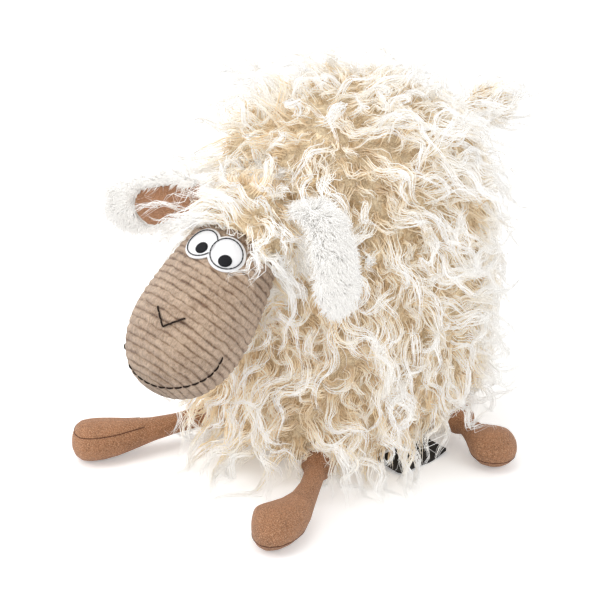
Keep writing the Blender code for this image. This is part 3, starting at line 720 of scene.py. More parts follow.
def tube_map(mesh, shades, points):
    """Writes each strand's column and the way along it into the wool's map."""
    corners = np.empty(len(mesh.loops), np.int32)
    mesh.loops.foreach_get("vertex_index", corners)
    starts = np.empty(len(mesh.polygons), np.int32)
    mesh.polygons.foreach_get("loop_start", starts)
    sizes = np.diff(np.append(starts, len(corners)))
    strand, rest = np.divmod(corners, points * SIDES)
    row, turn = np.divmod(rest, SIDES)
    wraps = np.repeat(np.maximum.reduceat(turn, starts) - np.minimum.reduceat(turn, starts) == SIDES - 1, sizes)
    cap = np.repeat(np.maximum.reduceat(row, starts) == np.minimum.reduceat(row, starts), sizes)
    along = row / (points - 1)
    along = np.where(cap, np.clip(along, 0.002, 0.998) + np.where(turn == 0, -0.001, 0.001), along)
    turn = turn + SIDES * (wraps & (turn == 0))
    column = np.minimum((shades * COLUMNS).astype(int), COLUMNS - 1)[strand]
    layer = mesh.uv_layers.new(name=WOOL_MAP)
    places = np.stack(((column + 0.1 + 0.8 * turn / SIDES) / COLUMNS, 0.01 + 0.98 * along), axis=1)
    layer.uv.foreach_set("vector", places.ravel())


def add_strands(name, lines, shades, thickness, look, body, slot):
    """One piece of many closed tapering tubes, with their shades in the wool's map."""
    strands, points, _ = lines.shape
    lines[:, :, 2] = np.maximum(lines[:, :, 2], LOWEST_STRAND)
    share = np.linspace(0, 1, points)
    taper = thickness * (1.0 - 0.85 * share ** 2)
    section = bpy.data.curves.new("strand_section", 'CURVE')
    section.dimensions = '3D'
    ring = section.splines.new('POLY')
    ring.points.add(SIDES - 1)
    for number in range(SIDES):
        angle = -math.tau * number / SIDES
        ring.points[number].co = (math.cos(angle), math.sin(angle), 0, 1)
    ring.use_cyclic_u = True
    ring_object = bpy.data.objects.new("strand_section", section)
    bpy.context.scene.collection.objects.link(ring_object)
    curve = bpy.data.curves.new(name, 'CURVE')
    curve.dimensions = '3D'
    curve.bevel_mode = 'OBJECT'
    curve.bevel_object = ring_object
    four_d = np.ones((points, 4))
    for line in lines:
        spline = curve.splines.new('POLY')
        spline.points.add(points - 1)
        four_d[:, :3] = line
        spline.points.foreach_set("co", four_d.ravel())
        spline.points.foreach_set("radius", taper)
    tubes = meshed(curve)
    bpy.data.objects.remove(ring_object)
    if len(tubes.vertices) != strands * points * SIDES:
        raise RuntimeError(f"{name}: the tubes have {len(tubes.vertices)} corners")
    form = form_of(tubes)
    form.verts.ensure_lookup_table()
    ends = points * SIDES
    for first in range(0, strands * ends, ends):
        last = first + ends - SIDES
        form.faces.new([form.verts[first + number] for number in range(SIDES)])
        form.faces.new([form.verts[last + SIDES - 1 - number] for number in range(SIDES)])
    for layer in list(form.loops.layers.uv):
        form.loops.layers.uv.remove(layer)
    bmesh.ops.recalc_face_normals(form, faces=form.faces)
    form.to_mesh(tubes)
    form.free()
    tube_map(tubes, shades, points)
    return add_piece(name, tubes, look, body, slot)


def add_wool(name, lines, shades, thickness, look, body, slot, most=198000):
    """Strands split into pieces that each stay under the limit of triangles."""
    each = 2 * SIDES * (lines.shape[1] - 1) + 2 * (SIDES - 2)
    share = most // each
    parts = math.ceil(len(lines) / share)
    size = math.ceil(len(lines) / parts)
    made = []
    for part in range(parts):
        some = slice(part * size, (part + 1) * size)
        made.append(add_strands(f"{name}_{part + 1}", lines[some], shades[some], thickness, look, body, slot))
    return made


def bulge(wave, fullness):
    """A cosine filled out, so that a circle becomes a rounded square."""
    return math.copysign(abs(wave) ** (2 / fullness), wave)


def egg_half_width(share):
    """Half the head's width from the crown (0) to the chin (1)."""
    rise = share * share * (3 - 2 * share)
    spread = (1 - abs(2 * share - 1) ** FULLNESS) ** (1 / FULLNESS)
    return (FOREHEAD + (MUZZLE - FOREHEAD) * rise) * spread


def egg_skin(share, around):
    """Point of the head's egg in its own frame; around is 0 in front and grows to the left."""
    half = egg_half_width(share)
    return Vector((half * math.sin(around), BEHIND_NECK - HEAD_LENGTH * share,
                   HEAD_RISE + half * DEPTH_SHARE * math.cos(around)))


def face_place(sideways, along, lift=0.0):
    """World place and normal at a spot of the face, raised by a lift."""
    share = (BEHIND_NECK - along) / HEAD_LENGTH
    around = math.asin(max(-1, min(1, sideways / egg_half_width(share))))
    nudge = 1e-4
    point = egg_skin(share, around)
    ahead = egg_skin(share + nudge, around) - point
    beside = egg_skin(share, around + nudge) - point
    normal = ahead.cross(beside).normalized()
    return HEAD_FRAME @ (point + normal * lift), (HEAD_FRAME.to_3x3() @ normal).normalized()


def thread(name, lines, radius, look, body, slot, *nodes):
    """Thread laid along lines of points, its ends thinned where they enter the cloth."""
    curve = bpy.data.curves.new(name, 'CURVE')
    curve.dimensions = '3D'
    curve.bevel_depth = radius
    curve.bevel_resolution = 2
    curve.use_fill_caps = True
    for line, closed in lines:
        spline = curve.splines.new('POLY')
        spline.points.add(len(line) - 1)
        for point, place in zip(spline.points, line):
            point.co = (*place[:3], 1)
            point.radius = place[3] if len(place) > 3 else 1
        spline.use_cyclic_u = closed
    mesh = meshed(curve)
    form = form_of(mesh)
    bmesh.ops.remove_doubles(form, verts=form.verts, dist=1e-6)
    bmesh.ops.recalc_face_normals(form, faces=form.faces)
    form.to_mesh(mesh)
    form.free()
    return add_piece(name, mesh, look, body, slot, *nodes)


def stitches(places, length, sink):
    """Cuts a line of (point, normal) into stitches whose ends dip into the cloth."""
    points = [Vector(place) for place, _ in places]
    travel = [0.0]
    for first, second in zip(points, points[1:]):
        travel.append(travel[-1] + (second - first).length)
    number = max(1, round(travel[-1] / length))
    lines = []
    for stitch in range(number):
        line = []
        for step in range(9):
            share = step / 8
            at = (stitch + 0.04 + 0.92 * share) / number * travel[-1]
            index = max(k for k in range(len(travel)) if travel[k] <= at + 1e-12)
            index = min(index, len(points) - 2)
            part = (at - travel[index]) / max(travel[index + 1] - travel[index], 1e-9)
            point = points[index].lerp(points[index + 1], part)
            normal = places[index][1].lerp(places[index + 1][1], part)
            dip = sink * (1 - math.sin(math.pi * share) ** 0.35)
            point = point - normal * dip
            line.append((*point, 0.75 + 0.25 * math.sin(math.pi * share)))
        lines.append((line, False))
    return lines


class SheepStage(bpy.types.Operator):
    """Sets the pale floor, the soft lamps, the world and the photograph's camera"""
    bl_idname = "sheep.stage"
    bl_label = "Stage"

    def execute(self, context):
        scene = context.scene
        scene.view_settings.view_transform = 'Standard'
        back = CAMERA_BACK
        right = Vector((math.cos(CAMERA_HEADING), math.sin(CAMERA_HEADING), 0))
        turn = Matrix((right, back.cross(right), back)).transposed().to_4x4()
        camera = bpy.data.objects.new("camera", bpy.data.cameras.new("camera"))
        camera.data.sensor_width = SENSOR_WIDTH
        camera.data.lens = SENSOR_WIDTH * FOCAL_PIXELS / PHOTO_WIDTH
        camera.matrix_world = Matrix.Translation(CAMERA_TARGET + back * CAMERA_DISTANCE) @ turn
        scene.collection.objects.link(camera)
        scene.camera = camera
        self.add_floor(scene)
        self.add_lamp(scene, "top_lamp", (-0.5, -0.5, 2.2), 2.2, 22)
        self.add_lamp(scene, "front_lamp", (-1.1, -2.1, 1.5), 1.5, 19)
        self.add_lamp(scene, "side_lamp", (2.2, 0.2, 1.5), 1.6, 9)
        self.add_world(scene)
        return {'FINISHED'}

    def add_floor(self, scene):
        form = bmesh.new()
        bmesh.ops.create_grid(form, x_segments=1, y_segments=1, size=8)
        mesh = mesh_from(form, "floor")
        floor = bpy.data.objects.new("floor", mesh)
        scene.collection.objects.link(floor)
        look = Look("pale_floor", 0.9)
        look.set("Base Color", four((0.95, 0.95, 0.95)))
        look.set("Specular IOR Level", 0.0)
        rays = look.node('ShaderNodeLightPath', output="Is Camera Ray")
        look.set("Emission Color", four((1, 1, 1)))
        look.tree.links.new((rays * FLOOR_GLOW).socket, look.shader.inputs["Emission Strength"])
        mesh.materials.append(look.material)

    def add_lamp(self, scene, name, place, size, power):
        lamp = bpy.data.lights.new(name, 'AREA')
        lamp.shape = 'DISK'
        lamp.size = size
        lamp.energy = power
        made = bpy.data.objects.new(name, lamp)
        aim = CAMERA_TARGET - Vector(place)
        made.matrix_world = Matrix.Translation(Vector(place)) @ aim.to_track_quat('-Z', 'Y').to_matrix().to_4x4()
        scene.collection.objects.link(made)

    def add_world(self, scene):
        world = bpy.data.worlds.new("studio")
        scene.world = world
        world.use_nodes = True
        nodes, links = world.node_tree.nodes, world.node_tree.links
        soft = nodes["Background"]
        soft.inputs["Color"].default_value = (1, 1, 1, 1)
        soft.inputs["Strength"].default_value = WORLD_LIGHT
        white = nodes.new('ShaderNodeBackground')
        white.inputs["Strength"].default_value = 1
        white.inputs["Color"].default_value = (1, 1, 1, 1)
        rays = nodes.new('ShaderNodeLightPath')
        mix = nodes.new('ShaderNodeMixShader')
        links.new(rays.outputs["Is Camera Ray"], mix.inputs[0])
        links.new(soft.outputs[0], mix.inputs[1])
        links.new(white.outputs[0], mix.inputs[2])
        links.new(mix.outputs[0], nodes["World Output"].inputs["Surface"])


SHELLS = {}
FLEECE_INSET = 0.0080


def shell(name):
    """The softened form under a woolly piece, made once."""
    if name not in SHELLS:
        if name == "body":
            SHELLS[name] = rounded("body_form", ("body_cover",), 0.0050, 6, FLEECE_INSET)
            for corner in SHELLS[name].vertices:
                corner.co.z -= (FLEECE_INSET - 0.0006) * max(0.0, 1 - abs(corner.co.z - FLEECE_INSET) / 0.022)
        elif name == "crown":
            SHELLS[name] = rounded("crown_form", ("crown_cover",), 0.0030, 4, 0.0030)
        elif name == "neck":
            SHELLS[name] = rounded("neck_form", ("neck_cover",), 0.0022, 2)
        elif name == "tail":
            SHELLS[name] = rounded("tail_form", ("tail",), 0.0025, 4, 0.0060)
    return SHELLS[name]


def label_axes():
    """The label's root, the axis it is lifted about and the way it points."""
    joint = JOINTS["label_lift"]
    root, axis = Vector(joint["pos_m"]), Vector(joint["axis"]).normalized()
    out = axis.cross(Vector((0, 0, 1))).normalized()
    return root, axis, -out if out.x < 0 else out


def swirl(point, coarse, fine):
    """An angle that wanders over the surface, so that locks lie in whorls."""
    return noise.noise(point * 17) * coarse + noise.noise(point * 48 + Vector((9, 4, 7))) * fine


def lie(direction, up, angle):
    """A direction laid along the surface and turned on it."""
    flat = direction - up * direction.dot(up)
    if flat.length < 1e-5:
        flat = up.orthogonal()
    return Matrix.Rotation(angle, 3, up) @ flat.normalized()


def body_comb(point, up):
    """Wool falls from the back, parts over the top and is drawn towards the muzzle by the neck."""
    out = Vector((point.x, point.y * 0.8, 0))
    crown = clamp((point.z - 0.20) / 0.08)
    way = Vector((0, 0, -1)) * (1 - crown * 0.6) + out.normalized() * (0.35 + crown * 0.7)
    near = max(0.0, 1 - (point - NECK).length / 0.10)
    muzzle = HEAD_FRAME.to_3x3() @ Vector((0, -1, 0))
    way = way + muzzle * near * 1.6
    return lie(way, up, swirl(point, 2.8, 2.2) * (1 - 0.7 * near))


def golden(point):
    """How pale the wool is: golden in front and by the neck, whiter behind and on the right."""
    return max(0.05, min(0.95, 0.44 + point.y * 3.2 + (point.z - 0.15) * 0.8 + noise.noise(point * 22) * 0.35))


class SheepBody(bpy.types.Operator):
    """Makes the fleece body and its long locks"""
    bl_idname = "sheep.body"
    bl_label = "Body wool"

    def execute(self, context):
        wool = context.scene.sheep_wool
        surface = shell("body")
        back = add_piece("body_fleece", surface.copy(), "fleece", "body", "long_wool", "body_cover")
        tree = tree_of(surface)
        head = node_tree("face_cover")
        ears = node_tree("ear_plush_left", "ear_lining_left", "ear_plush_right", "ear_lining_right")
        legs = node_tree(*(name for name in frame["nodes"] if name.startswith("leg_cover")))
        rng = np.random.default_rng(11)

        def open_skin(place, normal):
            if place.z < 0.006 or (normal.z < -0.6 and place.z < 0.03):
                return False
            if ears.find_nearest(place, 0.011)[0] is not None:
                return False
            return head.find_nearest(place, 0.008)[0] is None

        long_lock = Lock(wool.length, wool.rise, wool.width, wool.curl, wool.wave,
                         fewer(wool.strands), 13, 0.50, 0.08, 0.65)
        tuft = Lock(wool.under_length, 0.007, 0.0060, 0.0022, 0.017, fewer(wool.under_strands), 7)
        coat = Coat(tree, body_comb, 21)

        def fuller(root):
            chest = clamp(-root.y / 0.10) * max(0.0, 1 - root.z / 0.12)
            nape = max(0.0, 1 - (root - NECK).length / 0.095) if root.z > NECK.z - 0.01 else 0
            rump = clamp((root.x + root.y - 0.08) / 0.07) * clamp((0.24 - root.z) / 0.06)
            rump *= clamp((root.z - 0.04) / 0.04)
            mane = clamp((-root.x - root.y - 0.02) / 0.08) * clamp((root.z - 0.15) / 0.05)
            return 1 + 1.1 * chest + 1.6 * nape - 0.60 * rump + 1.3 * mane

        places, normals = scatter(surface, 8000, wool.spacing, rng, open_skin)
        lines, shades = coat.locks(places, normals, long_lock, fuller, golden)
        lines = push_out(lines, node_tree("face_cover", "eye_felt"), OFF_FACE)
        lines = push_out(lines, ears, OFF_EARS)
        lines = push_out(lines, legs, OFF_LEGS)
        keep = self.off_label(lines, rng)
        lines = within_room(lines[keep])
        add_wool("body_wool", lines, shades[keep], wool.thickness, "wool", "body", "long_wool")
        places, normals = scatter(surface, 12000, wool.under_spacing, rng, open_skin)
        lines, shades = coat.locks(places, normals, tuft, None, golden)
        lines = push_out(lines, legs, OFF_LEGS)
        keep = self.off_label(lines, rng)
        lines, shades = lines[keep], shades[keep]
        add_wool("body_underwool", lines, shades, wool.thickness * 1.25, "underwool", "body", "long_wool")
        return {'FINISHED'}

    def off_label(self, lines, rng):
        """Which strands stay: those over the label's rear part, away from the body, are parted away."""
        label = node_tree("label")
        root, axis, out = label_axes()
        keep = []
        for line in lines:
            over = 0.0
            for point in line[1:]:
                place = Vector(point)
                if label.find_nearest(place, 0.010)[0] is not None and (place - root).dot(axis) < 0.004:
                    over = max(over, (place - root).dot(out))
            keep.append(over < 0.008 or rng.random() > 0.99)
        return np.array(keep)


class SheepHead(bpy.types.Operator):
    """Makes the crown's fleece and the forelock"""
    bl_idname = "sheep.head"
    bl_label = "Head wool"

    lining_room = 0.0230

    def execute(self, context):
        wool = context.scene.sheep_wool
        crown = add_piece("crown_fleece", shell("crown").copy(), "fleece", "head", "long_wool", "crown_cover")
        inverse = HEAD_FRAME.inverted()
        skin = SHELLS["face"]
        tree = tree_of(shell("crown"), skin)
        lining = node_tree("ear_lining_right")
        rng = np.random.default_rng(12)
        turned = HEAD_FRAME.to_3x3()

        def hairline(place, normal):
            local = inverse @ place
            if local.y < (-0.0085 if abs(local.x) < 0.024 else -0.0085 - 0.25 * (abs(local.x) - 0.024)):
                return False
            if lining.find_nearest(place, 0.007)[0] is not None:
                return False
            return tree.ray_cast(place + normal * 0.001, normal, 0.03)[0] is None

        def forelock(point, up):
            """Swept to the sheep's right over the brow, and down beside the left cheek."""
            local = inverse @ point
            if local.x > 0.018 or local.z < 0:
                way = turned @ Vector((0.1, -1.0, 0)) + Vector((0, 0, -1.0))
            elif local.y > 0.020:
                way = turned @ Vector((-0.6, 1, 0))
            else:
                way = turned @ Vector((-1.0, -0.30, 0.0))
            return lie(way, up, swirl(point, 0.8, 0.7))

        def pale(point):
            back = clamp((inverse @ point).y / 0.03)
            return 0.50 + noise.noise(point * 30) * 0.45 - 0.45 * back

        def cheek(root):
            return 1 + 1.2 * clamp((inverse @ root).x / 0.02)

        both = mesh_from(form_of(shell("crown"), skin), "head_form")
        coat = Coat(tree, forelock, 22)
        felt = node_tree("eye_felt")
        ears = node_tree("ear_plush_left", "ear_plush_right")
        long_lock = Lock(0.054, 0.011, 0.0078, 0.0032, 0.030, fewer(10), 12, 0.34, 0.15, 0.60)
        places, normals = scatter(both, 9000, 0.0068, rng, hairline)
        lines, shades = coat.locks(places, normals, long_lock, cheek, pale)
        lines = push_out(push_out(lines, felt, OFF_FACE), ears, 0.0015)
        few = rng.random(len(lines)) < 0.04
        keep = clear_of(lines, felt, 0.0030) & (clear_of(lines, lining, self.lining_room) | few)
        keep &= out_of_sight(lines, felt)
        add_wool("head_wool", lines[keep], shades[keep], wool.thickness, "wool", "head", "long_wool")
        tuft = Lock(0.017, 0.005, 0.0050, 0.0018, 0.015, fewer(7), 6)
        places, normals = scatter(both, 9000, 0.0070, rng, hairline)
        lines, shades = coat.locks(places, normals, tuft, None, pale)
        keep = clear_of(lines, felt, 0.0020) & out_of_sight(lines, felt)
        add_wool("head_underwool", lines[keep], shades[keep], wool.thickness * 1.2, "underwool", "head", "long_wool")
        return {'FINISHED'}


class SheepNeck(bpy.types.Operator):
    """Makes the neck's fleece and the wool that bridges body and head"""
    bl_idname = "sheep.neck"
    bl_label = "Neck wool"

    def execute(self, context):
        wool = context.scene.sheep_wool
        surface = shell("neck")
        neck = add_piece("neck_fleece", surface.copy(), "fleece", "neck", "long_wool", "neck_cover")
        around = tree_of(surface, shell("crown"), shell("body"))
        rng = np.random.default_rng(13)
        middle = Vector(np.mean([corner.co for corner in surface.vertices], axis=0))

        def open_skin(place, normal):
            open_out = around.ray_cast(place + normal * 0.001, normal, 0.02)[0] is None
            return (place - middle).dot(normal) > 0 and open_out

        def bridge(point, up):
            return lie(HEAD_FRAME.to_3x3() @ Vector((0.3, -0.6, 0.5)), up, swirl(point, 1.6, 1.2))

        lock = Lock(0.052, 0.018, 0.0090, 0.0034, 0.028, fewer(11), 11, 0.4, 0.15, 0.5)
        places, normals = scatter(surface, 4000, 0.0066, rng, open_skin)
        lines, shades = Coat(around, bridge, 23).locks(places, normals, lock, None, lambda place: 0.12)
        lines = push_out(lines, node_tree("face_cover", "eye_felt"), OFF_FACE)
        add_wool("neck_wool", lines, shades, wool.thickness, "underwool", "neck", "long_wool")
        return {'FINISHED'}


class SheepFaceCloth(bpy.types.Operator):
    """Makes the ribbed egg of the face"""
    bl_idname = "sheep.face"
    bl_label = "Face"

    slope = -0.13
    turns = 46
    table_steps = 400

    def execute(self, context):
        face = context.scene.sheep_face
        around_steps, along_steps = fewer((216, 190))
        form = bmesh.new()
        layer = form.loops.layers.uv.new("Ribs")
        table, travel, before = [], 0.0, None
        for step in range(self.table_steps + 1):
            share = (1 - bulge(math.cos(math.pi * step / self.table_steps), FULLNESS)) / 2
            point = egg_skin(share, 0)
            travel += (point - before).length if before else 0
            before = point
            table.append(travel)

        def ribs(polar, sideways):
            """Ribs counted from the crown, each a little lower on the sheep's left."""
            at = polar * self.table_steps
            low = min(int(at), self.table_steps - 1)
            travelled = table[low] + (table[low + 1] - table[low]) * (at - low)
            return (travelled + sideways * self.slope) / face.rib

        rows = {}

        def corner_at(polar, around):
            """A corner of the cloth, sunk where a groove runs."""
            share = (1 - bulge(math.cos(math.pi * polar), FULLNESS)) / 2
            point = egg_skin(share, around)
            world = HEAD_FRAME @ point
            row = ribs(polar, point.x)
            phase = row + (noise.noise(world * 60) + noise.noise(world * 150) * 0.6) * 0.16
            groove = abs(math.cos(math.pi * phase)) ** 4 * max(0.1, 0.75 + 0.9 * noise.noise(world * 70))
            slant = 0.5 + 0.5 * math.sin(math.tau * (around * self.turns / math.tau * 2.3 + phase * 0.8))
            fuzz = noise.noise(world * 420)
            inward = Vector((point.x, 0, (point.z - HEAD_RISE))).normalized()
            if polar < 0.04 or polar > 0.96:
                inward = Vector()
            depth = face.groove * groove + 0.00012 * slant + 0.00036 * (fuzz + 1)
            corner = form.verts.new(HEAD_FRAME @ (point - inward * depth))
            rows[corner] = row
            return corner

        rings = [[corner_at(ring / along_steps, math.tau * (number / around_steps - 0.5))
                  for number in range(around_steps)] for ring in range(1, along_steps)]
        poles = corner_at(0, 0), corner_at(1, 0)
        for number in range(around_steps):
            after = (number + 1) % around_steps
            strip = [((rings[0][number], 0), (rings[0][after], 1), (poles[0], 0.5))]
            strip += [((below[number], 0), (below[after], 1), (above[after], 1), (above[number], 0))
                      for above, below in zip(rings, rings[1:])]
            strip.append(((rings[-1][after], 1), (rings[-1][number], 0), (poles[1], 0.5)))
            for corners in strip:
                polygon = form.faces.new([corner for corner, _ in corners])
                for loop, (corner, side) in zip(polygon.loops, corners):
                    loop[layer].uv = ((number + side) / around_steps * self.turns, rows[corner])
        bmesh.ops.recalc_face_normals(form, faces=form.faces)
        mesh = mesh_from(form, "face_cloth")
        SHELLS["face"] = mesh
        made = add_piece("face_cloth", mesh, "chenille", "head", "ribbed_chenille", "face_cover")
        return {'FINISHED'}


class SheepFeatures(bpy.types.Operator):
    """Makes the felt eyes, their stitched outlines and pupils, the nose and the mouth"""
    bl_idname = "sheep.features"
    bl_label = "Eyes, nose and mouth"

    places = {"left": (0.0127, -0.0269), "right": (-0.0078, -0.0266)}
    sizes = {"left": (0.0110, 0.0124), "right": (0.0112, 0.0118)}
    tilts = {"left": math.radians(31), "right": math.radians(-26)}
    pupils = {"left": (0.0153, -0.0325), "right": (-0.0055, -0.0306)}
    rim = 0.0022
    felt_top = 0.0015

    def spot(self, side, angle, grow):
        half = self.sizes[side]
        local = Vector(((half[0] + grow) * math.cos(angle), (half[1] + grow) * math.sin(angle)))
        return Matrix.Rotation(self.tilts[side], 2) @ local + Vector(self.places[side])

    def covered(self, side, spot, grow):
        half = self.sizes[side]
        local = Matrix.Rotation(-self.tilts[side], 2) @ (spot - Vector(self.places[side]))
        return (local.x / (half[0] + grow)) ** 2 + (local.y / (half[1] + grow)) ** 2 < 1

    def patch(self, name, centre, outline, profile, look, slot, *nodes):
        """A cloth patch on the face inside an outline; the profile gives shares and lifts."""
        form = bmesh.new()
        rings = []
        for share, lift in profile:
            ring = []
            for spot in outline:
                place, _ = face_place(*(centre + (spot - centre) * share), lift)
                ring.append(form.verts.new(place))
            rings.append(ring)
            for first, second in zip(ring, ring[1:] + ring[:1]):
                form.edges.new((first, second))
        for below, above in zip(rings, rings[1:]):
            edges = {edge for corner in below + above for edge in corner.link_edges
                     if edge.other_vert(corner) in below + above}
            bmesh.ops.bridge_loops(form, edges=list(edges))
        form.faces.new(rings[0])
        form.faces.new(rings[-1])
        bmesh.ops.recalc_face_normals(form, faces=form.faces)
        return add_piece(name, mesh_from(form, name), look, "head", slot, *nodes)

    def execute(self, context):
        turns = [math.tau * step / 96 for step in range(96)]
        edge = [
            self.spot(side, angle, self.rim)
            for side, other in (("left", "right"), ("right", "left"))
            for angle in turns
            if not self.covered(other, self.spot(side, angle, self.rim), self.rim)
        ]
        middle = (Vector(self.places["left"]) + Vector(self.places["right"])) / 2
        edge.sort(key=lambda spot: math.atan2(spot.y - middle.y, spot.x - middle.x))
        top = self.felt_top
        self.patch("eye_felt_white", middle, edge, [
            (1.0, 0.0002), (1.0, top * 0.6), (0.985, top * 0.9), (0.95, top), (0.7, top * 1.02), (0.4, top * 1.02)],
            "felt", "white_felt", "eye_felt")
        for side, other in (("left", "right"), ("right", "left")):
            spots = [self.spot(side, angle, 0) for angle in turns]
            if side == "right":
                open_at = [number for number, spot in enumerate(spots) if not self.covered("left", spot, 0.0006)]
                start = next(n for n in open_at if (n - 1) % 96 not in open_at)
                spots = [spots[(start + k) % 96] for k in range(len(open_at))]
                line = [(*face_place(*spot, top + 0.0004)[0], 0.85 + 0.15 * math.cos(k * 1.9))
                        for k, spot in enumerate(spots)]
                lines = [(line, False)]
            else:
                line = [(*face_place(*spot, top + 0.0004)[0], 0.85 + 0.15 * math.cos(k * math.tau / 4))
                        for k, spot in enumerate(spots)]
                lines = [(line, True)]
            thread(f"eye_line_{side}", lines, 0.00050, "eye_thread", "head", "dark_thread", f"eye_outline_{side}")
            centre = Vector(self.pupils[side])
            ring = [centre + 0.0046 * Vector((math.cos(angle), math.sin(angle) * 1.06)) for angle in turns[::3]]
            self.patch(f"pupil_{side}_satin", centre, ring, [
                (1.0, top), (1.0, top + 0.0004), (0.9, top + 0.0008), (0.6, top + 0.0011), (0.2, top + 0.0012)],
                "eye_thread", "dark_thread", f"pupil_{side}")
        arms = []
        for end in (-1, 1):
            line = [face_place(0.0010 + 0.0125 * end * step / 8, -0.0841 - 0.0126 * (1 - step / 8), 0.0006)
                    for step in range(9)]
            arms += stitches(line, 0.0062, 0.0008)
        thread("nose_thread", arms, 0.00078, "thread", "head", "dark_thread", "nose_stitch")
        line = []
        for step in range(65):
            turn = math.pi * (0.17 + 0.83 * step / 64)
            line.append(face_place(-0.0425 * math.cos(turn), -0.0936 - 0.0406 * math.sin(turn), 0.0001))
        smile = stitches(line[11:], 0.0066, 0.0013) + stitches(line[:4], 0.0040, 0.0010)
        thread("mouth_thread", smile, 0.00074, "thread", "head", "dark_thread", "mouth_stitch")
        return {'FINISHED'}


class EarShape:
    """An ear's own directions: ahead to its tip and across it, from its middle."""

    def __init__(self, mesh, root):
        spots = self.spots_of(mesh)
        self.middle = spots.mean(0)
        axes = np.linalg.eigh(np.cov((spots - self.middle).T))[1]
        self.ahead, self.across = axes[:, 2], axes[:, 1]
        if (self.middle - np.array(root)) @ self.ahead < 0:
            self.ahead = -self.ahead
        self.reach = ((spots - self.middle) @ self.ahead).max()

    def spots_of(self, mesh):
        spots = np.empty(len(mesh.vertices) * 3)
        mesh.vertices.foreach_get("co", spots)
        return spots.reshape(-1, 3)

    def draw_in(self, mesh, width, length, lean):
        """Narrows and shortens an ear, so that its plush ends where the solid does, and leans its tip."""
        spots = self.spots_of(mesh)
        along, aside = (spots - self.middle) @ self.ahead, (spots - self.middle) @ self.across
        tip = np.clip(along / self.reach, 0, 1) ** 2
        spots = (spots + np.outer((length - 1) * (along + self.reach), self.ahead)
                 + np.outer((width - 1) * aside, self.across) + np.outer(tip, np.array(lean)))
        mesh.vertices.foreach_set("co", spots.ravel())

    def rumple(self, mesh, depth, scale):
        """Small soft bulges, alike on the plush and on its lining."""
        for corner in mesh.vertices:
            spot = corner.co * scale
            corner.co += depth * Vector([noise.noise(spot + Vector((9, 4, 7)) * axis) for axis in range(3)])

    def round_off(self, mesh):
        """Lengthens the free end of a lining and rounds it."""
        spots = self.spots_of(mesh)
        along, aside = (spots - self.middle) @ self.ahead, (spots - self.middle) @ self.across
        centre = aside.mean()
        end = np.clip((along - along.max() + 0.018) / 0.018, 0, 1)
        narrow = np.sqrt(np.clip(1 - end ** 2.6, 0, 1)) - 1
        spots = spots + np.outer(end * 0.006, self.ahead) + np.outer(narrow * 0.92 * (aside - centre), self.across)
        mesh.vertices.foreach_set("co", spots.ravel())


class SheepEars(bpy.types.Operator):
    """Makes the plush ears and their suede linings"""
    bl_idname = "sheep.ears"
    bl_label = "Ears"

    shares = {
        "left": (0.62, 0.62, 0.97, Vector((0.0035, 0.0035, 0))),
        "right": (0.86, 0.99, 0.94, Vector()),
    }

    def execute(self, context):
        limbs = context.scene.sheep_limbs
        for number, side in enumerate(("left", "right")):
            body = f"ear_{side}"
            plush, lining = f"ear_plush_{side}", f"ear_lining_{side}"
            root = Vector(JOINTS[f"ear_{side}_flap"]["pos_m"])
            surface = rounded(f"ear_form_{side}", (plush,), 0.0020, 4)
            inner = rounded(f"lining_form_{side}", (lining,), 0.0011, 3)
            shape = EarShape(surface, root)
            shape.round_off(inner)
            plush_width, lining_width, length, lean = self.shares[side]
            for mesh, width in ((surface, plush_width), (inner, lining_width)):
                shape.draw_in(mesh, width, length, lean)
                shape.rumple(mesh, 0.0045, 42)
            made = add_piece(f"ear_flap_{side}", surface.copy(), "plush", body, "white_plush", plush)
            add_piece(f"ear_suede_{side}", inner, "suede", body, "copper_suede", lining)
            tree = tree_of(inner)

            def bare(place, normal):
                return tree.find_nearest(place, 0.0014)[0] is None

            def fall(point, up):
                return lie((point - root).normalized() + Vector((0, 0, -0.6)), up, swirl(point * 2, 1.2, 1.4))

            rng = np.random.default_rng(31 + number)
            wanted = fewer(limbs.nap_count)
            places, normals = scatter(surface, wanted, 0, rng, bare)
            coat = Coat(None, fall, 41 + number)
            lines, shades = coat.nap(places, normals, limbs.nap, 0.7, 4)
            add_wool(f"ear_nap_{side}", lines, shades, 0.00045, "nap", body, "white_plush")
        return {'FINISHED'}


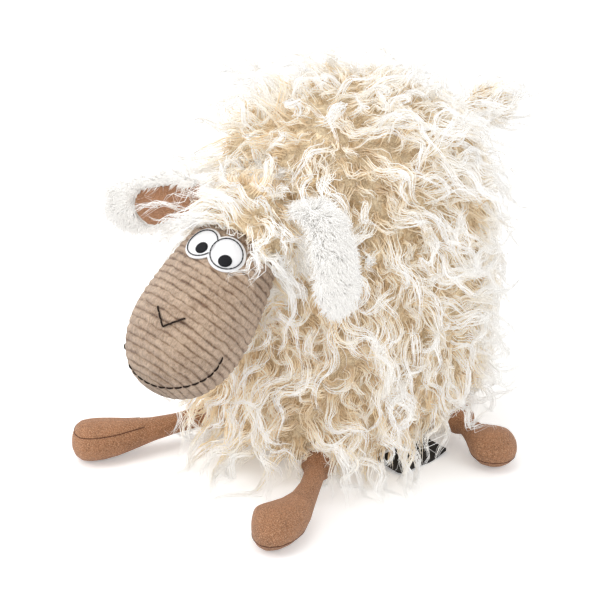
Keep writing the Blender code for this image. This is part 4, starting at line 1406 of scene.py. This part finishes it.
class SheepLegs(bpy.types.Operator):
    """Makes the suede legs with the seams round their feet"""
    bl_idname = "sheep.legs"
    bl_label = "Legs"

    seam_heights = {"front_left": 0.0105, "front_right": 0.0260, "rear_left": 0.0105, "rear_right": 0.0105}

    def execute(self, context):
        limbs = context.scene.sheep_limbs
        for name in ("front_left", "front_right", "rear_left", "rear_right"):
            node = f"leg_cover_{name}"
            body = f"leg_{name}"
            form = rounded(f"leg_form_{name}", (node, f"leg_stuffing_{name}"), 0.0015, 4)
            for corner in form.vertices:
                corner.co.z = max(corner.co.z, 0.0)
            made = add_piece(f"leg_suede_{name}", form, "suede", body, "copper_suede", node)
            self.add_seam(name, form, body, limbs.seam)
        return {'FINISHED'}

    def add_seam(self, name, mesh, body, radius):
        """Thread round the foot where its sole meets its upper."""
        form = form_of(mesh)
        root = Vector(JOINTS[f"{name}_leg_swing"]["pos_m"]).xy
        far = max((corner.co.xy - root).length for corner in form.verts)
        cut = bmesh.ops.bisect_plane(form, geom=form.verts[:] + form.edges[:] + form.faces[:],
                                     plane_co=(0, 0, self.seam_heights[name]), plane_no=(0, 0, 1),
                                     clear_inner=True, clear_outer=True)
        left, loops = {item for item in cut["geom_cut"] if isinstance(item, bmesh.types.BMEdge)}, []
        while left:
            edge = left.pop()
            line = [edge.verts[0], edge.verts[1]]
            while following := next((e for e in line[-1].link_edges if e in left), None):
                left.discard(following)
                line.append(following.other_vert(line[-1]))
            loops.append([corner.co.copy() for corner in (line[:-1] if line[0] == line[-1] else line)])
        form.free()
        line = max(loops, key=len)
        if sum(here.x * after.y - after.x * here.y for here, after in zip(line, line[1:] + line[:1])) < 0:
            line.reverse()
        foot = [(place.xy - root).length > far * 0.50 for place in line]
        start = next(k for k in range(len(line)) if foot[k] and not foot[k - 1])
        line = [place for place, on in zip(line[start:] + line[:start], foot[start:] + foot[:start]) if on]
        tree = tree_of(mesh)
        path = []
        for place in line[::3]:
            hit, normal, _, _ = tree.find_nearest(place)
            path.append((*(hit + normal * radius * 0.3), 1))
        thread(f"leg_seam_{name}", [(path, False)], radius, "seam", body, "copper_suede")


class SheepTail(bpy.types.Operator):
    """Makes the tail's tuft"""
    bl_idname = "sheep.tail"
    bl_label = "Tail"

    def execute(self, context):
        wool = context.scene.sheep_wool
        surface = shell("tail")
        made = add_piece("tail_fleece", surface.copy(), "fleece", "tail", "long_wool", "tail")
        rng = np.random.default_rng(14)

        def trail(point, up):
            return lie(Vector((0.35, 1, 0.22)), up, swirl(point, 0.9, 0.7))

        lock = Lock(0.052, 0.010, 0.0066, 0.0022, 0.036, fewer(11), 12, 0.6, 0.2, 0.4)
        tuft = Lock(0.017, 0.005, 0.0050, 0.0018, 0.015, fewer(7), 6)
        coat = Coat(tree_of(surface), trail, 24)
        places, normals = scatter(surface, 900, 0.0085, rng, None)
        lines, shades = coat.locks(places, normals, lock, None, lambda place: 0.65)
        lines = within_room(lines)
        add_wool("tail_wool", lines, shades, wool.thickness, "wool", "tail", "long_wool")
        places, normals = scatter(surface, 1500, 0.0070, rng, None)
        lines, shades = coat.locks(places, normals, tuft, None, lambda place: 0.6)
        add_wool("tail_underwool", lines, shades, wool.thickness * 1.2, "underwool", "tail", "long_wool")
        return {'FINISHED'}


class SheepLabel(bpy.types.Operator):
    """Makes the bare woven tag"""
    bl_idname = "sheep.label"
    bl_label = "Label"

    width = 0.055
    length = 0.028
    thread = 0.0011

    def execute(self, context):
        form = node_form("label")
        bmesh.ops.dissolve_limit(form, angle_limit=0.02, verts=form.verts, edges=form.edges)
        bmesh.ops.triangulate(form, faces=form.faces)
        for _ in range(4):
            long_edges = [edge for edge in form.edges if edge.calc_length() > 0.004]
            bmesh.ops.subdivide_edges(form, edges=long_edges, cuts=1, use_grid_fill=False)
            bmesh.ops.triangulate(form, faces=form.faces)
        root, axis, out = label_axes()
        layer = form.loops.layers.uv.new("Weave")
        for polygon in form.faces:
            for loop in polygon.loops:
                local = loop.vert.co - root
                loop[layer].uv = (local.dot(axis) / self.thread, local.dot(out) / self.thread)
        for corner in form.verts:
            local = corner.co - root
            reach = max(0.0, local.dot(out)) / self.length
            across = local.dot(axis) / (self.width / 2)
            corner.co.z += 0.0030 * reach ** 2 * across ** 2 + 0.0007 * reach * math.sin(across * 5)
        bmesh.ops.recalc_face_normals(form, faces=form.faces)
        made = add_piece("label_cloth", mesh_from(form, "label_cloth"), "label", "label", "black_cloth", "label")
        return {'FINISHED'}


class SheepInside(bpy.types.Operator):
    """Gives the fillings and the closing seam their cloth and thread"""
    bl_idname = "sheep.inside"
    bl_label = "Filling and closing seam"

    def execute(self, context):
        for name, made in frame["nodes"].items():
            look = "filling" if "stuffing" in name else "closing" if name == "closing_thread" else ""
            if look:
                for slot in made.material_slots:
                    slot.material = looks()[look]
        return {'FINISHED'}


class SheepPanel(bpy.types.Panel):
    """Lists the sheep's pieces in the sidebar"""
    bl_idname = "VIEW3D_PT_plush_sheep"
    bl_label = "Plush sheep"
    bl_space_type = 'VIEW_3D'
    bl_region_type = 'UI'
    bl_category = "Plush sheep"

    def draw(self, context):
        for operator in OPERATORS:
            self.layout.operator(operator.bl_idname)


OPERATORS = (SheepStage, SheepFaceCloth, SheepFeatures, SheepBody, SheepNeck, SheepHead, SheepEars, SheepLegs,
             SheepTail, SheepLabel, SheepInside)
GROUPS = {"sheep_wool": SheepWool, "sheep_face": SheepFace, "sheep_limbs": SheepLimbs}


def register():
    for name, group in GROUPS.items():
        bpy.utils.register_class(group)
        setattr(bpy.types.Scene, name, PointerProperty(type=group))
    for operator in OPERATORS:
        bpy.utils.register_class(operator)
    bpy.utils.register_class(SheepPanel)


def unregister():
    bpy.utils.unregister_class(SheepPanel)
    for operator in reversed(OPERATORS):
        bpy.utils.unregister_class(operator)
    for name, group in GROUPS.items():
        delattr(bpy.types.Scene, name)
        bpy.utils.unregister_class(group)


def main():
    register()
    for operator in OPERATORS:
        _, action = operator.bl_idname.split(".")
        getattr(bpy.ops.sheep, action)()


if __name__ == "__main__":
    main()
